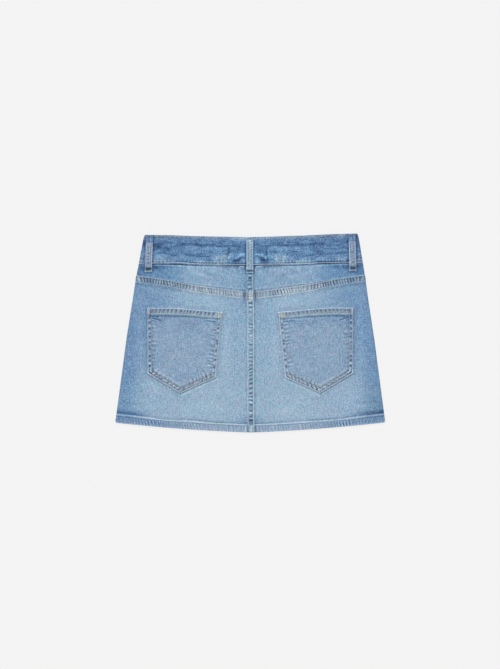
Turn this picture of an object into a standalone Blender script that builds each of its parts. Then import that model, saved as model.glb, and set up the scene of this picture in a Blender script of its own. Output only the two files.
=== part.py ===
"""A denim mini skirt laid flat with its back face up.

Frame: metres, +Z up from the surface it lies on, +Y towards the waist, +X to the
right as seen from above.  The back of the garment faces +Z, so -X is also the
wearer's left.  The origin is under the middle of the skirt, on the surface.

Every cloth piece is a slab of parameter space (across, along, depth) that is laid
onto the flattened tube of the skirt: "across" runs from the centre line out to the
side fold and round it to the side seam, "along" is the height of a cross row at the
centre line, and "depth" is measured outwards from the outer face of the cloth.
"""

import math
from collections import namedtuple

import bmesh
import bpy

MM = 0.001

# ---------------------------------------------------------------- driving sizes, mm
GAP = 0.3              # clearance between neighbouring pieces
DENIM = 1.1            # one layer of cloth
BAND_WALL = 1.8        # waistband, two layers pressed together
HEM_WALL = 2.7         # turned hem, three layers
LOOP_WALL = 1.8        # belt loop, folded strip
LOOP_WIDTH = 12.2
FELL_WIDTH = 12.4      # lapped yoke seam, from edge to edge
FELL_WALL = 1.0        # how much cloth the lap adds on the outside
CENTRE_FELL_WIDTH = 11.8
UNDERLAP = 15.0        # each front waistband end passes the centre front by this
OVERLAP_RISE = BAND_WALL + GAP   # extra height where the two ends lie on each other
POCKET_HEM = 12.6      # turned top edge of a back pocket
POCKET_BOW = 2.7       # how far the top edge of a pocket bows up
POCKET_SKEW = 0.001
ZIP_WIDTH, ZIP_THICK, ZIP_TOP, ZIP_END = 24.0, 1.0, 112.0, 14.0
BUTTON_RADIUS, BUTTON_HEIGHT = 8.5, 1.8

# Cross rows of the skirt.  y_mid is the row's height at the centre line, y_side at the
# side folds; straight says how much of the drop between them is a straight V (the rest
# is a parabola); skew is the rise per mm across, as the right side lies a touch higher;
# bow lifts the row three quarters of the way out.
Row = namedtuple("Row", "name y_mid y_side straight skew bow")
ROWS = [
    Row("top edge", 163.1, 168.2, 0.90, 0.0062, 0.6),
    Row("waist seam", 114.5, 118.0, 0.90, 0.0045, 0.4),
    Row("yoke seam", 64.2, 92.8, 0.75, 0.0029, 1.5),
    Row("hem stitch", -157.6, -141.0, 0.50, 0.0010, 0.0),
    Row("hem edge", -168.9, -152.2, 0.50, 0.0010, 0.0),
]
TOP, WAIST, YOKE, HEM, EDGE = (r.y_mid for r in ROWS)

# The waist lies a little to the right of the hem, and the lapped seam down the centre
# back leans the other way.
Middle = namedtuple("Middle", "y_mid x")
LEAN = [Middle(163.1, 1.3), Middle(114.5, 0.9), Middle(64.2, 0.45), Middle(-20.0, 0.0), Middle(-168.9, 0.0)]
CENTRE_SEAM = [Middle(114.5, -0.9), Middle(86.0, -0.9), Middle(37.0, 0.2), Middle(-131.0, 0.5), Middle(-168.9, 1.4)]

# Outline of the side folds.
Side = namedtuple("Side", "y half_width")
SIDES = [
    Side(168.0, 182.0),
    Side(117.4, 190.9),
    Side(91.5, 195.6),
    Side(55.3, 200.9),
    Side(21.3, 206.2),
    Side(-12.7, 211.4),
    Side(-46.7, 215.9),
    Side(-80.7, 220.4),
    Side(-114.7, 224.9),
    Side(-145.3, 229.0),
    Side(-153.0, 229.6),
]

# Heights of the outer faces above the surface: front is the underside, back the top.
Level = namedtuple("Level", "y_mid front back")
BAND_LEVELS = [
    Level(163.1, 2.1, 6.8),
    Level(114.5, 2.1, 6.8),
]
BODY_LEVELS = [
    Level(114.5, 2.6, 5.8),
    Level(98.0, 2.5, 5.6),
    Level(58.0, 0.0, 4.3),
    Level(40.0, 0.0, 4.2),
    Level(-108.0, 0.0, 4.2),
    Level(-152.0, 0.0, 5.9),
    Level(-168.9, 0.0, 5.9),
]

# Long creases in the waistband: a trough that runs between two places across.
Crease = namedtuple("Crease", "x_from x_to y_from y_to depth half_breadth")
BAND_CREASES = [
    Crease(-150.0, -15.0, 153.5, 147.0, 0.7, 6.5),
    Crease(15.0, 160.0, 147.0, 154.0, 0.7, 6.5),
    Crease(-164.0, -62.0, 135.5, 130.0, 0.6, 6.0),
    Crease(66.0, 166.0, 130.5, 136.5, 0.6, 6.0),
]

# The closed waistband lies double at the centre front, which lifts the back over it.
LIFT_FULL, LIFT_NONE = 26.0, 70.0

# Back pocket corners (the right one; the left is its mirror image).
Corner = namedtuple("Corner", "x y")
POCKET = {
    "inner_top": Corner(47.2, 36.0),
    "outer_top": Corner(175.4, 42.6),
    "inner_low": Corner(59.2, -75.2),
    "point": Corner(118.8, -101.9),
    "outer_low": Corner(174.8, -68.2),
}

# Belt loops: where the middle of the strip lies at its top and its lower end.
Loop = namedtuple("Loop", "name face x_top x_low y_low over")
LOOPS = [
    Loop("loop_back_centre", 1, -0.9, -0.9, 102.0, FELL_WALL + GAP),
    Loop("loop_back_left", 1, -171.5, -174.2, 103.8, 0.0),
    Loop("loop_back_right", 1, 172.9, 174.6, 105.5, 0.0),
    Loop("loop_front_left", -1, -92.0, -93.5, 101.0, 0.0),
    Loop("loop_front_right", -1, 92.0, 93.5, 102.0, 0.0),
]
LOOP_ARCH = 1.3        # how far a loop stands off between its two tacks

# Columns of the grids, as shares of the flat half width, then steps round the fold.
FLAT_COLUMNS = [0.0, 0.06, 0.14, 0.2, 0.26, 0.32, 0.38, 0.5, 0.62, 0.74, 0.86, 0.94, 1.0]
FOLD_STEPS = 4

# colour, roughness and metallic value of each material
Finish = namedtuple("Finish", "colour roughness metallic")
FINISHES = {
    "denim": Finish((0.28, 0.43, 0.58), 0.85, 0.0),
    "denim_dark": Finish((0.12, 0.22, 0.40), 0.85, 0.0),
    "denim_worn": Finish((0.33, 0.42, 0.52), 0.85, 0.0),
    "zip_tape": Finish((0.16, 0.26, 0.42), 0.7, 0.0),
    "metal": Finish((0.55, 0.50, 0.44), 0.35, 1.0),
}


# ---------------------------------------------------------------- small helpers
def clamp(value, low=0.0, high=1.0):
    return max(low, min(high, value))


def smooth(value):
    value = clamp(value)
    return value * value * (3 - 2 * value)


def read(table, key, at, *columns, eased=False):
    """The table's columns at a place, between the two rows around it."""
    rows = sorted(table, key=lambda row: getattr(row, key))
    at = clamp(at, getattr(rows[0], key), getattr(rows[-1], key))
    for low, high in zip(rows, rows[1:]):
        if at <= getattr(high, key):
            break
    share = (at - getattr(low, key)) / (getattr(high, key) - getattr(low, key))
    if eased:
        share = smooth(share)
    return [getattr(low, c) + (getattr(high, c) - getattr(low, c)) * share for c in columns]


# ---------------------------------------------------------------- the garment's form
def half_width(along):
    (y_side,) = read(ROWS, "y_mid", along, "y_side")
    (half,) = read(SIDES, "y", y_side, "half_width")
    return half


def row_y(along, x):
    """Height in plan of a cross row at x."""
    y_side, straight, skew, bow = read(ROWS, "y_mid", along, "y_side", "straight", "skew", "bow")
    s = clamp(abs(x) / half_width(along))
    soft = 0.04
    vee = (math.hypot(s, soft) - soft) / (math.hypot(1, soft) - soft)
    drop = straight * vee + (1 - straight) * s * s
    bow *= math.exp(-(((s - 0.76) / 0.16) ** 2))
    return along + (y_side - along) * drop + skew * x + bow


def along_at(x, y):
    """The cross row that passes through a place in plan."""
    low, high = EDGE - 5, TOP + 5
    for _ in range(40):
        middle = (low + high) / 2
        if row_y(middle, x) + min(0, middle - EDGE) + max(0, middle - TOP) < y:
            low = middle
        else:
            high = middle
    return (low + high) / 2


def lean(along):
    return read(LEAN, "y_mid", along, "x")[0]


def lift(x):
    """0 to 1: how much the doubled closure under it raises the cloth."""
    return smooth((LIFT_NONE - abs(x)) / (LIFT_NONE - LIFT_FULL))


def creases(along, x):
    total = 0.0
    for c in BAND_CREASES:
        run = (x - c.x_from) / (c.x_to - c.x_from)
        if not 0 < run < 1:
            continue
        middle = c.y_from + (c.y_to - c.y_from) * run
        away = (along - middle) / c.half_breadth
        total += c.depth * smooth(4 * min(run, 1 - run)) * math.exp(-away * away * 2)
    return total


def band_levels(along, x):
    front, back = read(BAND_LEVELS, "y_mid", along, "front", "back")
    return front, back + OVERLAP_RISE * lift(x) - creases(along, x), back


def body_levels(along, x):
    front, back = read(BODY_LEVELS, "y_mid", along, "front", "back", eased=True)
    fade = smooth((along - YOKE) / (WAIST - YOKE))
    return front, back + OVERLAP_RISE * lift(x) * fade, back


def place(levels, face, across, along, depth):
    """A point of the garment, in mm.  face is 1 on the back and -1 on the front.
    across is 0 at the centre, +-1 where the fold starts and +-2 at the side seam;
    depth is the distance outwards from the outer face of the cloth."""
    front, _, back = levels(along, 0.0)
    radius = (back - front) / 2
    half = half_width(along)
    side = 1 if across >= 0 else -1
    if abs(across) <= 1:
        x = across * (half - radius) + lean(along)
        low, high, _ = levels(along, x)
        z = high + depth if face > 0 else low - depth
    else:
        turn = (abs(across) - 1) * (math.pi / 2)
        x = side * (half - radius + (radius + depth) * math.sin(turn)) + lean(along)
        rise = (radius + depth) * math.cos(turn)
        # each wall stops short of the side seam by half a gap
        rise = max(rise, GAP / 2)
        z = (front + back) / 2 + face * rise
    return x, row_y(along, clamp(x, -half, half)), z


# ---------------------------------------------------------------- building blocks
def material(name):
    found = bpy.data.materials.get(name)
    if found is None:
        finish = FINISHES[name]
        found = bpy.data.materials.new(name)
        found.use_nodes = True
        shader = found.node_tree.nodes["Principled BSDF"]
        shader.inputs["Base Color"].default_value = (*finish.colour, 1)
        shader.inputs["Roughness"].default_value = finish.roughness
        shader.inputs["Metallic"].default_value = finish.metallic
    return found


def slab(name, columns, rows, lay, finish, collection):
    """A grid of columns by rows, given one unit of depth by Solidify, and then laid
    onto the garment: lay(column, row, inner) gives each corner's place in mm, where
    inner is False on the outer face and True on the inner one."""
    mesh = bpy.data.meshes.new(name)
    bm = bmesh.new()
    bmesh.ops.create_grid(
        bm, x_segments=len(columns) - 1, y_segments=len(rows) - 1, size=0.5
    )
    bm.to_mesh(mesh)
    bm.free()
    made = bpy.data.objects.new(name, mesh)
    collection.objects.link(made)
    thick = made.modifiers.new("depth", "SOLIDIFY")
    thick.thickness, thick.offset = 1.0, -1.0
    bpy.context.view_layer.update()
    graph = bpy.context.evaluated_depsgraph_get()
    solid = bpy.data.meshes.new_from_object(made.evaluated_get(graph))
    made.modifiers.clear()
    made.data = solid
    bpy.data.meshes.remove(mesh)
    solid.name = name
    for vertex in solid.vertices:
        i = round((vertex.co.x + 0.5) * (len(columns) - 1))
        j = round((vertex.co.y + 0.5) * (len(rows) - 1))
        x, y, z = lay(columns[i], rows[j], vertex.co.z < -0.5)
        vertex.co = (x * MM, y * MM, z * MM)
    facing_out(solid)
    solid.shade_smooth()
    solid.set_sharp_from_angle(angle=math.radians(35))
    solid.materials.append(material(finish))
    return made


def facing_out(mesh):
    bm = bmesh.new()
    bm.from_mesh(mesh)
    bmesh.ops.recalc_face_normals(bm, faces=bm.faces)
    if bm.calc_volume(signed=True) < 0:
        bmesh.ops.reverse_faces(bm, faces=bm.faces)
    bm.to_mesh(mesh)
    bm.free()


def across_columns(side):
    """The columns of one half, from just off the centre line to the side seam."""
    folds = [1 + (k + 1) / FOLD_STEPS for k in range(FOLD_STEPS)]
    return [side * c for c in FLAT_COLUMNS + folds]


def both_halves():
    right = across_columns(1)
    return [-c for c in reversed(right[1:])] + right


def wall(name, face, levels, columns, rows, thick, finish, collection, rounded=None, centre=0.0):
    """A cloth wall between two cross rows.  rounded names the row that is a folded
    edge ("low" or "high"); centre is the gap left at the centre line."""
    radius = thick / 2
    if rounded:
        end = min(rows) if rounded == "low" else max(rows)
        sign = -1 if rounded == "low" else 1
        turned = [end - sign * radius * (1 - s) for s in (0.0, 0.5, 0.8, 0.97)]
        flat = [r for r in rows if sign * (r - turned[0]) < -0.5]
        rows = sorted(flat + turned)
    else:
        end, sign = None, 0

    def lay(column, row, inner):
        inset = 0.0
        if sign:
            reach = clamp(1 - abs(end - row) / radius, 0, 0.999)
            inset = radius * (1 - math.sqrt(1 - reach * reach))
        depth = -(thick - inset if inner else inset)
        x, y, z = place(levels, face, column, row, depth)
        if abs(column) < 1e-9 and centre:
            x = math.copysign(centre, side_of) + lean(row)
            y = row_y(row, x)
        return x, y, z

    side_of = 1 if sum(columns) >= 0 else -1
    return slab(name, columns, rows, lay, finish, collection)


def steps(start, end, *between):
    return sorted([start, end, *between])


# ---------------------------------------------------------------- the pieces
def waistband(collection):
    rows = steps(WAIST + GAP / 2, TOP, 118.5, 124.5, 130.5, 136.0, 142.0, 148.5, 154.5, 159.5)
    wall("waistband_back", 1, band_levels, both_halves(), rows, BAND_WALL, "denim_dark", collection, rounded="high")

    # The two front ends.  The left one runs past the centre front and lies outside;
    # the right one is raised over it.
    for side, name in ((-1, "waistband_front_left"), (1, "waistband_front_right")):
        half = half_width((TOP + WAIST) / 2)
        reach = [-UNDERLAP / half, 0.0, 0.08, 0.14, 0.2, 0.26, 0.38, 0.62, 0.86, 1.0]
        columns = [side * c for c in reach] + [side * (1 + (k + 1) / FOLD_STEPS) for k in range(FOLD_STEPS)]
        raised = OVERLAP_RISE if side > 0 else 0.0

        def lay(column, row, inner, side=side, raised=raised):
            radius = BAND_WALL / 2
            reach = clamp(1 - abs(TOP - row) / radius, 0, 0.999)
            inset = radius * (1 - math.sqrt(1 - reach * reach))
            depth = -(BAND_WALL - inset if inner else inset)
            x, y, z = place(band_levels, -1, column, row, depth)
            z += raised * smooth((50.0 - side * x) / 24.0)
            return x, y, z

        radius = BAND_WALL / 2
        rows = steps(WAIST + GAP / 2, TOP - 0.03 * radius, 138.0, TOP - radius, TOP - 0.5 * radius, TOP - 0.2 * radius)
        slab(name, columns, rows, lay, "denim_dark", collection)


def body(collection):
    upper = steps(YOKE + GAP / 2, WAIST - GAP / 2, 74.0, 84.0, 94.0, 104.0)
    lower = steps(HEM + GAP / 2, YOKE - GAP / 2, 50.0, 20.0, -30.0, -80.0, -108.0, -120.0, -131.0, -142.0, -151.0)
    front = steps(HEM + GAP / 2, WAIST - GAP / 2, 106.0, 98.0, 88.0, 78.0, 68.0, 58.0, 0.0, -60.0, -110.0)
    for side, hand in ((-1, "left"), (1, "right")):
        columns = across_columns(side)
        wall("yoke_" + hand, 1, body_levels, columns, upper, DENIM, "denim", collection, centre=GAP / 2)
        wall("back_panel_" + hand, 1, body_levels, columns, lower, DENIM, "denim", collection, centre=GAP / 2)
        wall("front_panel_" + hand, -1, body_levels, columns, front, DENIM, "denim", collection, centre=GAP / 2)
    hem = steps(EDGE, HEM - GAP / 2, -162.5)
    wall("hem_back", 1, body_levels, both_halves(), hem, HEM_WALL, "denim", collection, rounded="low")
    wall("hem_front", -1, body_levels, both_halves(), hem, HEM_WALL, "denim", collection, rounded="low")


def felled_seams(collection):
    """The laps that stand on the cloth where two edges are folded into each other."""

    def lay_yoke(column, off, inner):
        # a strip of even width that follows the seam, off mm above or below it
        x, y, _ = place(body_levels, 1, column, YOKE, 0.0)
        return place(body_levels, 1, column, along_at(x, y + off), GAP + (0.0 if inner else FELL_WALL))

    half = FELL_WIDTH / 2
    middle = read(CENTRE_SEAM, "y_mid", YOKE, "x")[0]
    for side, hand in ((-1, "left"), (1, "right")):
        start = middle + side * (CENTRE_FELL_WIDTH / 2 + GAP + 0.2) - lean(YOKE)
        columns = [start / (half_width(YOKE) - 2.15)] + across_columns(side)[1:]
        slab("seam_yoke_" + hand, columns, [-half, 0.0, half], lay_yoke, "denim_worn", collection)

    rows = steps(EDGE + 0.8, WAIST - GAP / 2, 106.0, 98.0, 88.0, 78.0, 68.0, 58.0, 45.0, 0.0, -60.0, -108.0, -120.0, -131.0, -142.0, -151.0, -160.0)

    def lay_centre(column, row, inner):
        x = read(CENTRE_SEAM, "y_mid", row, "x")[0] + column * CENTRE_FELL_WIDTH / 2
        _, high, _ = body_levels(row, x)
        return x, row_y(row, x), high + GAP + (0.0 if inner else FELL_WALL)

    slab("seam_centre_back", [-1, 0, 1], rows, lay_centre, "denim_worn", collection)


def pockets(collection):
    """Patch pockets: the panel's own height under each point, moved out."""
    point_share = (POCKET["point"].x - POCKET["inner_low"].x) / (POCKET["outer_low"].x - POCKET["inner_low"].x)
    columns = [0.0, 0.09, 0.18, 0.28, 0.38, point_share, 0.64, 0.72, 0.8, 0.87, 0.94, 1.0]
    rows = [0.0, 0.045, 0.085, 0.11, 0.3, 0.5, 0.7, 0.85, 1.0]

    def between(a, b, share):
        return a.x + (b.x - a.x) * share, a.y + (b.y - a.y) * share

    for side, hand in ((-1, "left"), (1, "right")):

        def lay(column, row, inner, side=side):
            top = between(POCKET["inner_top"], POCKET["outer_top"], column)
            if column <= point_share:
                low = between(POCKET["inner_low"], POCKET["point"], column / point_share)
            else:
                low = between(POCKET["point"], POCKET["outer_low"], (column - point_share) / (1 - point_share))
            top_y = top[1] + POCKET_BOW * math.sin(math.pi * column**1.5)
            x = side * (top[0] + (low[0] - top[0]) * row)
            y = top_y + (low[1] - top_y) * row + POCKET_SKEW * x
            _, high, _ = body_levels(along_at(x, y), x)
            below_top = (top_y - low[1]) * row
            mouth = 0.9 * (1 - smooth((below_top - POCKET_HEM + 4) / 6))
            mouth *= smooth(6 * min(column, 1 - column) + 0.25)
            return x, y, high + GAP + mouth + (0.0 if inner else DENIM)

        slab("pocket_" + hand, columns, rows, lay, "denim_worn", collection)


def belt_loops(collection):
    for loop in LOOPS:
        shares = [0.0, 0.05, 0.12, 0.22, 0.4, 0.6, 0.74, 0.8, 0.86, 0.93, 1.0]

        def lay(column, share, inner, loop=loop):
            x = loop.x_top + (loop.x_low - loop.x_top) * share + column * LOOP_WIDTH / 2
            top = row_y(TOP, loop.x_top)
            y = top - 1.0 + (loop.y_low - top + 1.0) * share
            if loop.face < 0:
                return x, y, LOOP_WALL if inner else 0.0
            along = along_at(x, y)
            band = band_levels(max(along, WAIST), x)[1] + creases(max(along, WAIST), x)
            cloth = body_levels(min(along, WAIST), x)[1] + loop.over
            # the strip steps between the band and the cloth below on the lower one's side
            step = smooth((along - WAIST) / 6.0) if cloth > band else smooth((along - WAIST + 8.0) / 7.0)
            arch = LOOP_ARCH * smooth(share / 0.3) * smooth((0.8 - share) / 0.25)
            base = cloth + (band - cloth) * step + GAP + arch
            return x, y, base + (0.0 if inner else LOOP_WALL)

        slab(loop.name, [-1, 0, 1], shares, lay, "denim_worn", collection)


def closure(collection):
    rows = steps(ZIP_END, ZIP_TOP, 106.0, 98.0, 88.0, 78.0, 68.0, 58.0, 36.0)

    def lay(column, row, inner):
        x = column * ZIP_WIDTH / 2
        low, _, _ = body_levels(row, x)
        return x, row_y(row, x), low + DENIM + GAP + (ZIP_THICK if inner else 0.0)

    slab("zip", [-1, 0, 1], rows, lay, "zip_tape", collection)

    # the button's head: a turned profile, lying on its face
    middle = (TOP + WAIST) / 2
    profile = [(0.0, 0.0), (0.86, 0.0), (0.97, 0.12), (1.0, 0.4), (0.97, 0.75), (0.9, 1.0), (0.0, 1.0)]
    mesh = bpy.data.meshes.new("waist_button")
    bm = bmesh.new()
    spun = [bm.verts.new((r * BUTTON_RADIUS * MM, 0, h * BUTTON_HEIGHT * MM)) for r, h in profile]
    edges = [bm.edges.new(pair) for pair in zip(spun, spun[1:])]
    bmesh.ops.spin(bm, geom=spun + edges, cent=(0, 0, 0), axis=(0, 0, 1), angle=math.tau, steps=28, use_merge=True)
    bmesh.ops.remove_doubles(bm, verts=bm.verts, dist=1e-6)
    bm.to_mesh(mesh)
    bm.free()
    facing_out(mesh)
    mesh.shade_smooth()
    mesh.set_sharp_from_angle(angle=math.radians(40))
    mesh.materials.append(material("metal"))
    button = bpy.data.objects.new("waist_button", mesh)
    button.location = (0, middle * MM, 0)
    collection.objects.link(button)


def main():
    for old in list(bpy.data.objects):
        bpy.data.objects.remove(old, do_unlink=True)
    collection = bpy.data.collections.new("denim_skirt")
    bpy.context.scene.collection.children.link(collection)
    waistband(collection)
    body(collection)
    felled_seams(collection)
    pockets(collection)
    belt_loops(collection)
    closure(collection)


main()
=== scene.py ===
"""Looks of the denim skirt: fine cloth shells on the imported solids, thread, metal,
floor, light and camera.  Sizes are in millimetres until a mesh is made."""

import math
from collections import namedtuple

import bpy
import numpy as np
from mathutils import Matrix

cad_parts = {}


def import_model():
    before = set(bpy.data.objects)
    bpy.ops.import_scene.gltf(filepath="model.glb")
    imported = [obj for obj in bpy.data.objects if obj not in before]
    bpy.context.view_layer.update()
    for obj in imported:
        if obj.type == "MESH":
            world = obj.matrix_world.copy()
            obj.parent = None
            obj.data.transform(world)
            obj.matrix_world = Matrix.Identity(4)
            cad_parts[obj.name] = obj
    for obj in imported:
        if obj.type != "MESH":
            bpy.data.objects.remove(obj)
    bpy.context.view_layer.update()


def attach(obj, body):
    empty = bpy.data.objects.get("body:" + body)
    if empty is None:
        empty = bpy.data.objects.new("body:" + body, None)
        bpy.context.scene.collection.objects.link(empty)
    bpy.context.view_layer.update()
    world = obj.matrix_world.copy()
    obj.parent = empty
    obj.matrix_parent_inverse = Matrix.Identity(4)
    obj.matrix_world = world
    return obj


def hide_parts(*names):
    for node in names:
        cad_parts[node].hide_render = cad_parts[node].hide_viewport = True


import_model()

# ================================================================ sizes of the solids
GAP = 0.3
DENIM = 1.1
BAND_WALL = 1.8
HEM_WALL = 2.7
LOOP_WALL = 1.8
LOOP_WIDTH = 12.2
FELL_WIDTH = 12.4
FELL_WALL = 1.0
CENTRE_FELL_WIDTH = 11.8
UNDERLAP = 15.0
OVERLAP_RISE = BAND_WALL + GAP
POCKET_HEM = 12.6
POCKET_BOW = 2.7
POCKET_SKEW = 0.001

Row = namedtuple("Row", "y_mid y_side straight skew bow")
ROWS = [
    Row(163.1, 168.2, 0.90, 0.0062, 0.6),    # top edge
    Row(114.5, 118.0, 0.90, 0.0045, 0.4),    # waist seam
    Row(64.2, 92.8, 0.75, 0.0029, 1.5),      # yoke seam
    Row(-157.6, -141.0, 0.50, 0.0010, 0.0),  # hem stitch
    Row(-168.9, -152.2, 0.50, 0.0010, 0.0),  # hem edge
]
TOP, WAIST, YOKE, HEM, EDGE = (r.y_mid for r in ROWS)

Middle = namedtuple("Middle", "y_mid x")
LEAN = [Middle(163.1, 1.3), Middle(114.5, 0.9), Middle(64.2, 0.45), Middle(-20.0, 0.0), Middle(-168.9, 0.0)]
CENTRE_SEAM = [Middle(114.5, -0.9), Middle(86.0, -0.9), Middle(37.0, 0.2), Middle(-131.0, 0.5), Middle(-168.9, 1.4)]

Side = namedtuple("Side", "y half_width")
SIDES = [
    Side(168.0, 182.0),
    Side(117.4, 190.9),
    Side(91.5, 195.6),
    Side(55.3, 200.9),
    Side(21.3, 206.2),
    Side(-12.7, 211.4),
    Side(-46.7, 215.9),
    Side(-80.7, 220.4),
    Side(-114.7, 224.9),
    Side(-145.3, 229.0),
    Side(-153.0, 229.6),
]

Level = namedtuple("Level", "y_mid front back")
BAND_LEVELS = [Level(163.1, 2.1, 6.8), Level(114.5, 2.1, 6.8)]
BODY_LEVELS = [
    Level(114.5, 2.6, 5.8),
    Level(98.0, 2.5, 5.6),
    Level(58.0, 0.0, 4.3),
    Level(40.0, 0.0, 4.2),
    Level(-108.0, 0.0, 4.2),
    Level(-152.0, 0.0, 5.9),
    Level(-168.9, 0.0, 5.9),
]
LIFT_FULL, LIFT_NONE = 26.0, 70.0

POCKET_INNER_TOP = (47.2, 36.0)
POCKET_OUTER_TOP = (175.4, 42.6)
POCKET_INNER_LOW = (59.2, -75.2)
POCKET_POINT = (118.8, -101.9)
POCKET_OUTER_LOW = (174.8, -68.2)

Loop = namedtuple("Loop", "name face x_top x_low y_low over")
LOOPS = [
    Loop("loop_back_centre", 1, -1.0, -0.6, 102.0, FELL_WALL + GAP),
    Loop("loop_back_left", 1, -170.7, -173.4, 103.7, 0.0),
    Loop("loop_back_right", 1, 172.7, 174.6, 105.4, 0.0),
    Loop("loop_front_left", -1, -92.0, -93.5, 101.0, 0.0),
    Loop("loop_front_right", -1, 92.0, 93.5, 102.0, 0.0),
]
LOOP_ARCH = 1.3


# ================================================================ arithmetic
def smooth(value):
    value = np.clip(value, 0.0, 1.0)
    return value * value * (3 - 2 * value)


def bell(away, breadth):
    return np.exp(-((away / breadth) ** 2))


def read(table, key, at, column, eased=False):
    rows = sorted(table, key=lambda row: getattr(row, key))
    keys = np.array([getattr(row, key) for row in rows])
    values = np.array([getattr(row, column) for row in rows])
    at = np.clip(at, keys[0], keys[-1])
    i = np.clip(np.searchsorted(keys, at, side="right") - 1, 0, len(keys) - 2)
    share = (at - keys[i]) / (keys[i + 1] - keys[i])
    if eased:
        share = smooth(share)
    return values[i] + (values[i + 1] - values[i]) * share


def wander(u, pitch, seed):
    """Smooth uneven wave along a line, from -1 to 1."""
    steps = np.random.default_rng(seed).uniform(-1, 1, 997)
    k = np.floor(np.asarray(u) / pitch)
    f = smooth(np.asarray(u) / pitch - k)
    k = k.astype(int)
    return steps[k % 997] * (1 - f) + steps[(k + 1) % 997] * f


def cloud(x, y, pitch, seed):
    """Smooth uneven patches over a plane, from -1 to 1."""
    steps = np.random.default_rng(seed).uniform(-1, 1, (211, 211))
    i, j = np.floor(x / pitch), np.floor(y / pitch)
    f, g = smooth(x / pitch - i), smooth(y / pitch - j)
    i, j = i.astype(int), j.astype(int)
    a, b = steps[i % 211, j % 211], steps[(i + 1) % 211, j % 211]
    c, d = steps[i % 211, (j + 1) % 211], steps[(i + 1) % 211, (j + 1) % 211]
    return (a * (1 - f) + b * f) * (1 - g) + (c * (1 - f) + d * f) * g


def puckers(u, pitch, seed, jitter=0.32):
    """Seam puckers along u: uneven in spacing and in depth, -1 in a trough."""
    phase = u / pitch + jitter * wander(u, pitch * 2.3, seed)
    wave = np.cos(2 * np.pi * phase)
    return wave * (0.66 + 0.34 * wander(u, pitch * 2.9, seed + 1))


def graded(start, end, coarse, fine=None, fine_start=0.0, fine_end=0.0):
    """Places from start to end: fine steps for a stretch at each end, coarse between."""
    fine = fine or coarse
    out = [start]
    while out[-1] < end - 1e-9:
        here = out[-1]
        near_start = here - start < fine_start
        near_end = end - here < fine_end + coarse
        out.append(here + (fine if near_start or near_end else coarse))
    out = np.array(out)
    return start + (out - start) * (end - start) / (out[-1] - start)


# ================================================================ the garment's form
def half_width(along):
    return read(SIDES, "y", read(ROWS, "y_mid", along, "y_side"), "half_width")


def row_y(along, x):
    y_side, straight, skew, bow = (read(ROWS, "y_mid", along, c) for c in ("y_side", "straight", "skew", "bow"))
    s = np.clip(np.abs(x) / half_width(along), 0, 1)
    soft = 0.04
    vee = (np.hypot(s, soft) - soft) / (math.hypot(1, soft) - soft)
    drop = straight * vee + (1 - straight) * s * s
    return along + (y_side - along) * drop + skew * x + bow * np.exp(-(((s - 0.76) / 0.16) ** 2))


def along_at(x, y):
    x, y = np.broadcast_arrays(np.asarray(x, float), np.asarray(y, float))
    low, high = np.full(x.shape, EDGE - 5.0), np.full(x.shape, TOP + 5.0)
    for _ in range(30):
        middle = (low + high) / 2
        under = row_y(middle, x) + np.minimum(0, middle - EDGE) + np.maximum(0, middle - TOP) < y
        low, high = np.where(under, middle, low), np.where(under, high, middle)
    return (low + high) / 2


def lean(along):
    return read(LEAN, "y_mid", along, "x")


def centre_seam(along):
    return read(CENTRE_SEAM, "y_mid", along, "x")


def lift(x):
    return smooth((LIFT_NONE - np.abs(x)) / (LIFT_NONE - LIFT_FULL))


def band_levels(along, x):
    front = read(BAND_LEVELS, "y_mid", along, "front")
    back = read(BAND_LEVELS, "y_mid", along, "back")
    return front, back + OVERLAP_RISE * lift(x), back


def body_levels(along, x):
    front = read(BODY_LEVELS, "y_mid", along, "front", eased=True)
    back = read(BODY_LEVELS, "y_mid", along, "back", eased=True)
    fade = smooth((along - YOKE) / (WAIST - YOKE))
    return front, back + OVERLAP_RISE * lift(x) * fade, back


def place(levels, face, across, along, depth):
    """A point of the garment: across is 0 at the centre, +-1 where the side fold starts
    and +-2 at the side seam; depth is outwards from the outer face."""
    across, along, depth = np.broadcast_arrays(across, along, depth)
    front, _, back = levels(along, 0.0)
    radius = (back - front) / 2
    half = half_width(along)
    middle = lean(along)
    x_flat = across * (half - radius) + middle
    low, high, _ = levels(along, x_flat)
    z_flat = high + depth if face > 0 else low - depth
    turn = (np.abs(across) - 1) * (math.pi / 2)
    x_fold = np.sign(across) * (half - radius + (radius + depth) * np.sin(turn)) + middle
    rise = np.maximum((radius + depth) * np.cos(turn), GAP / 2)
    z_fold = (front + back) / 2 + face * rise
    flat = np.abs(across) <= 1
    x, z = np.where(flat, x_flat, x_fold), np.where(flat, z_flat, z_fold)
    y = row_y(along, np.clip(x, -half, half))
    inset = half - np.abs(x - middle)
    y = y - corner_round(inset, 3.4) * np.clip((along - TOP + 9) / 9, 0, 1) + corner_round(inset, 2.4) * np.clip((EDGE + 7 - along) / 7, 0, 1)
    return np.stack([x, y, z], axis=-1)


def corner_round(inset, radius):
    """How far a corner of this radius draws back, at a distance in from the side."""
    near = np.clip(radius - inset, 0, radius)
    return radius - np.sqrt(np.maximum(radius**2 - near**2, 0))


def arc(levels, across, along):
    """Distance across the cloth from the centre line."""
    front, _, back = levels(along, 0.0)
    radius = (back - front) / 2
    flat = half_width(along) - radius
    size = np.abs(across)
    return np.sign(across) * np.where(size <= 1, size * flat, flat + (size - 1) * radius * math.pi / 2)


def across_of(levels, distance, along):
    front, _, back = levels(along, 0.0)
    radius = (back - front) / 2
    flat = half_width(along) - radius
    size = np.abs(distance)
    return np.sign(distance) * np.where(size <= flat, size / flat, 1 + (size - flat) / (radius * math.pi / 2))


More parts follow.
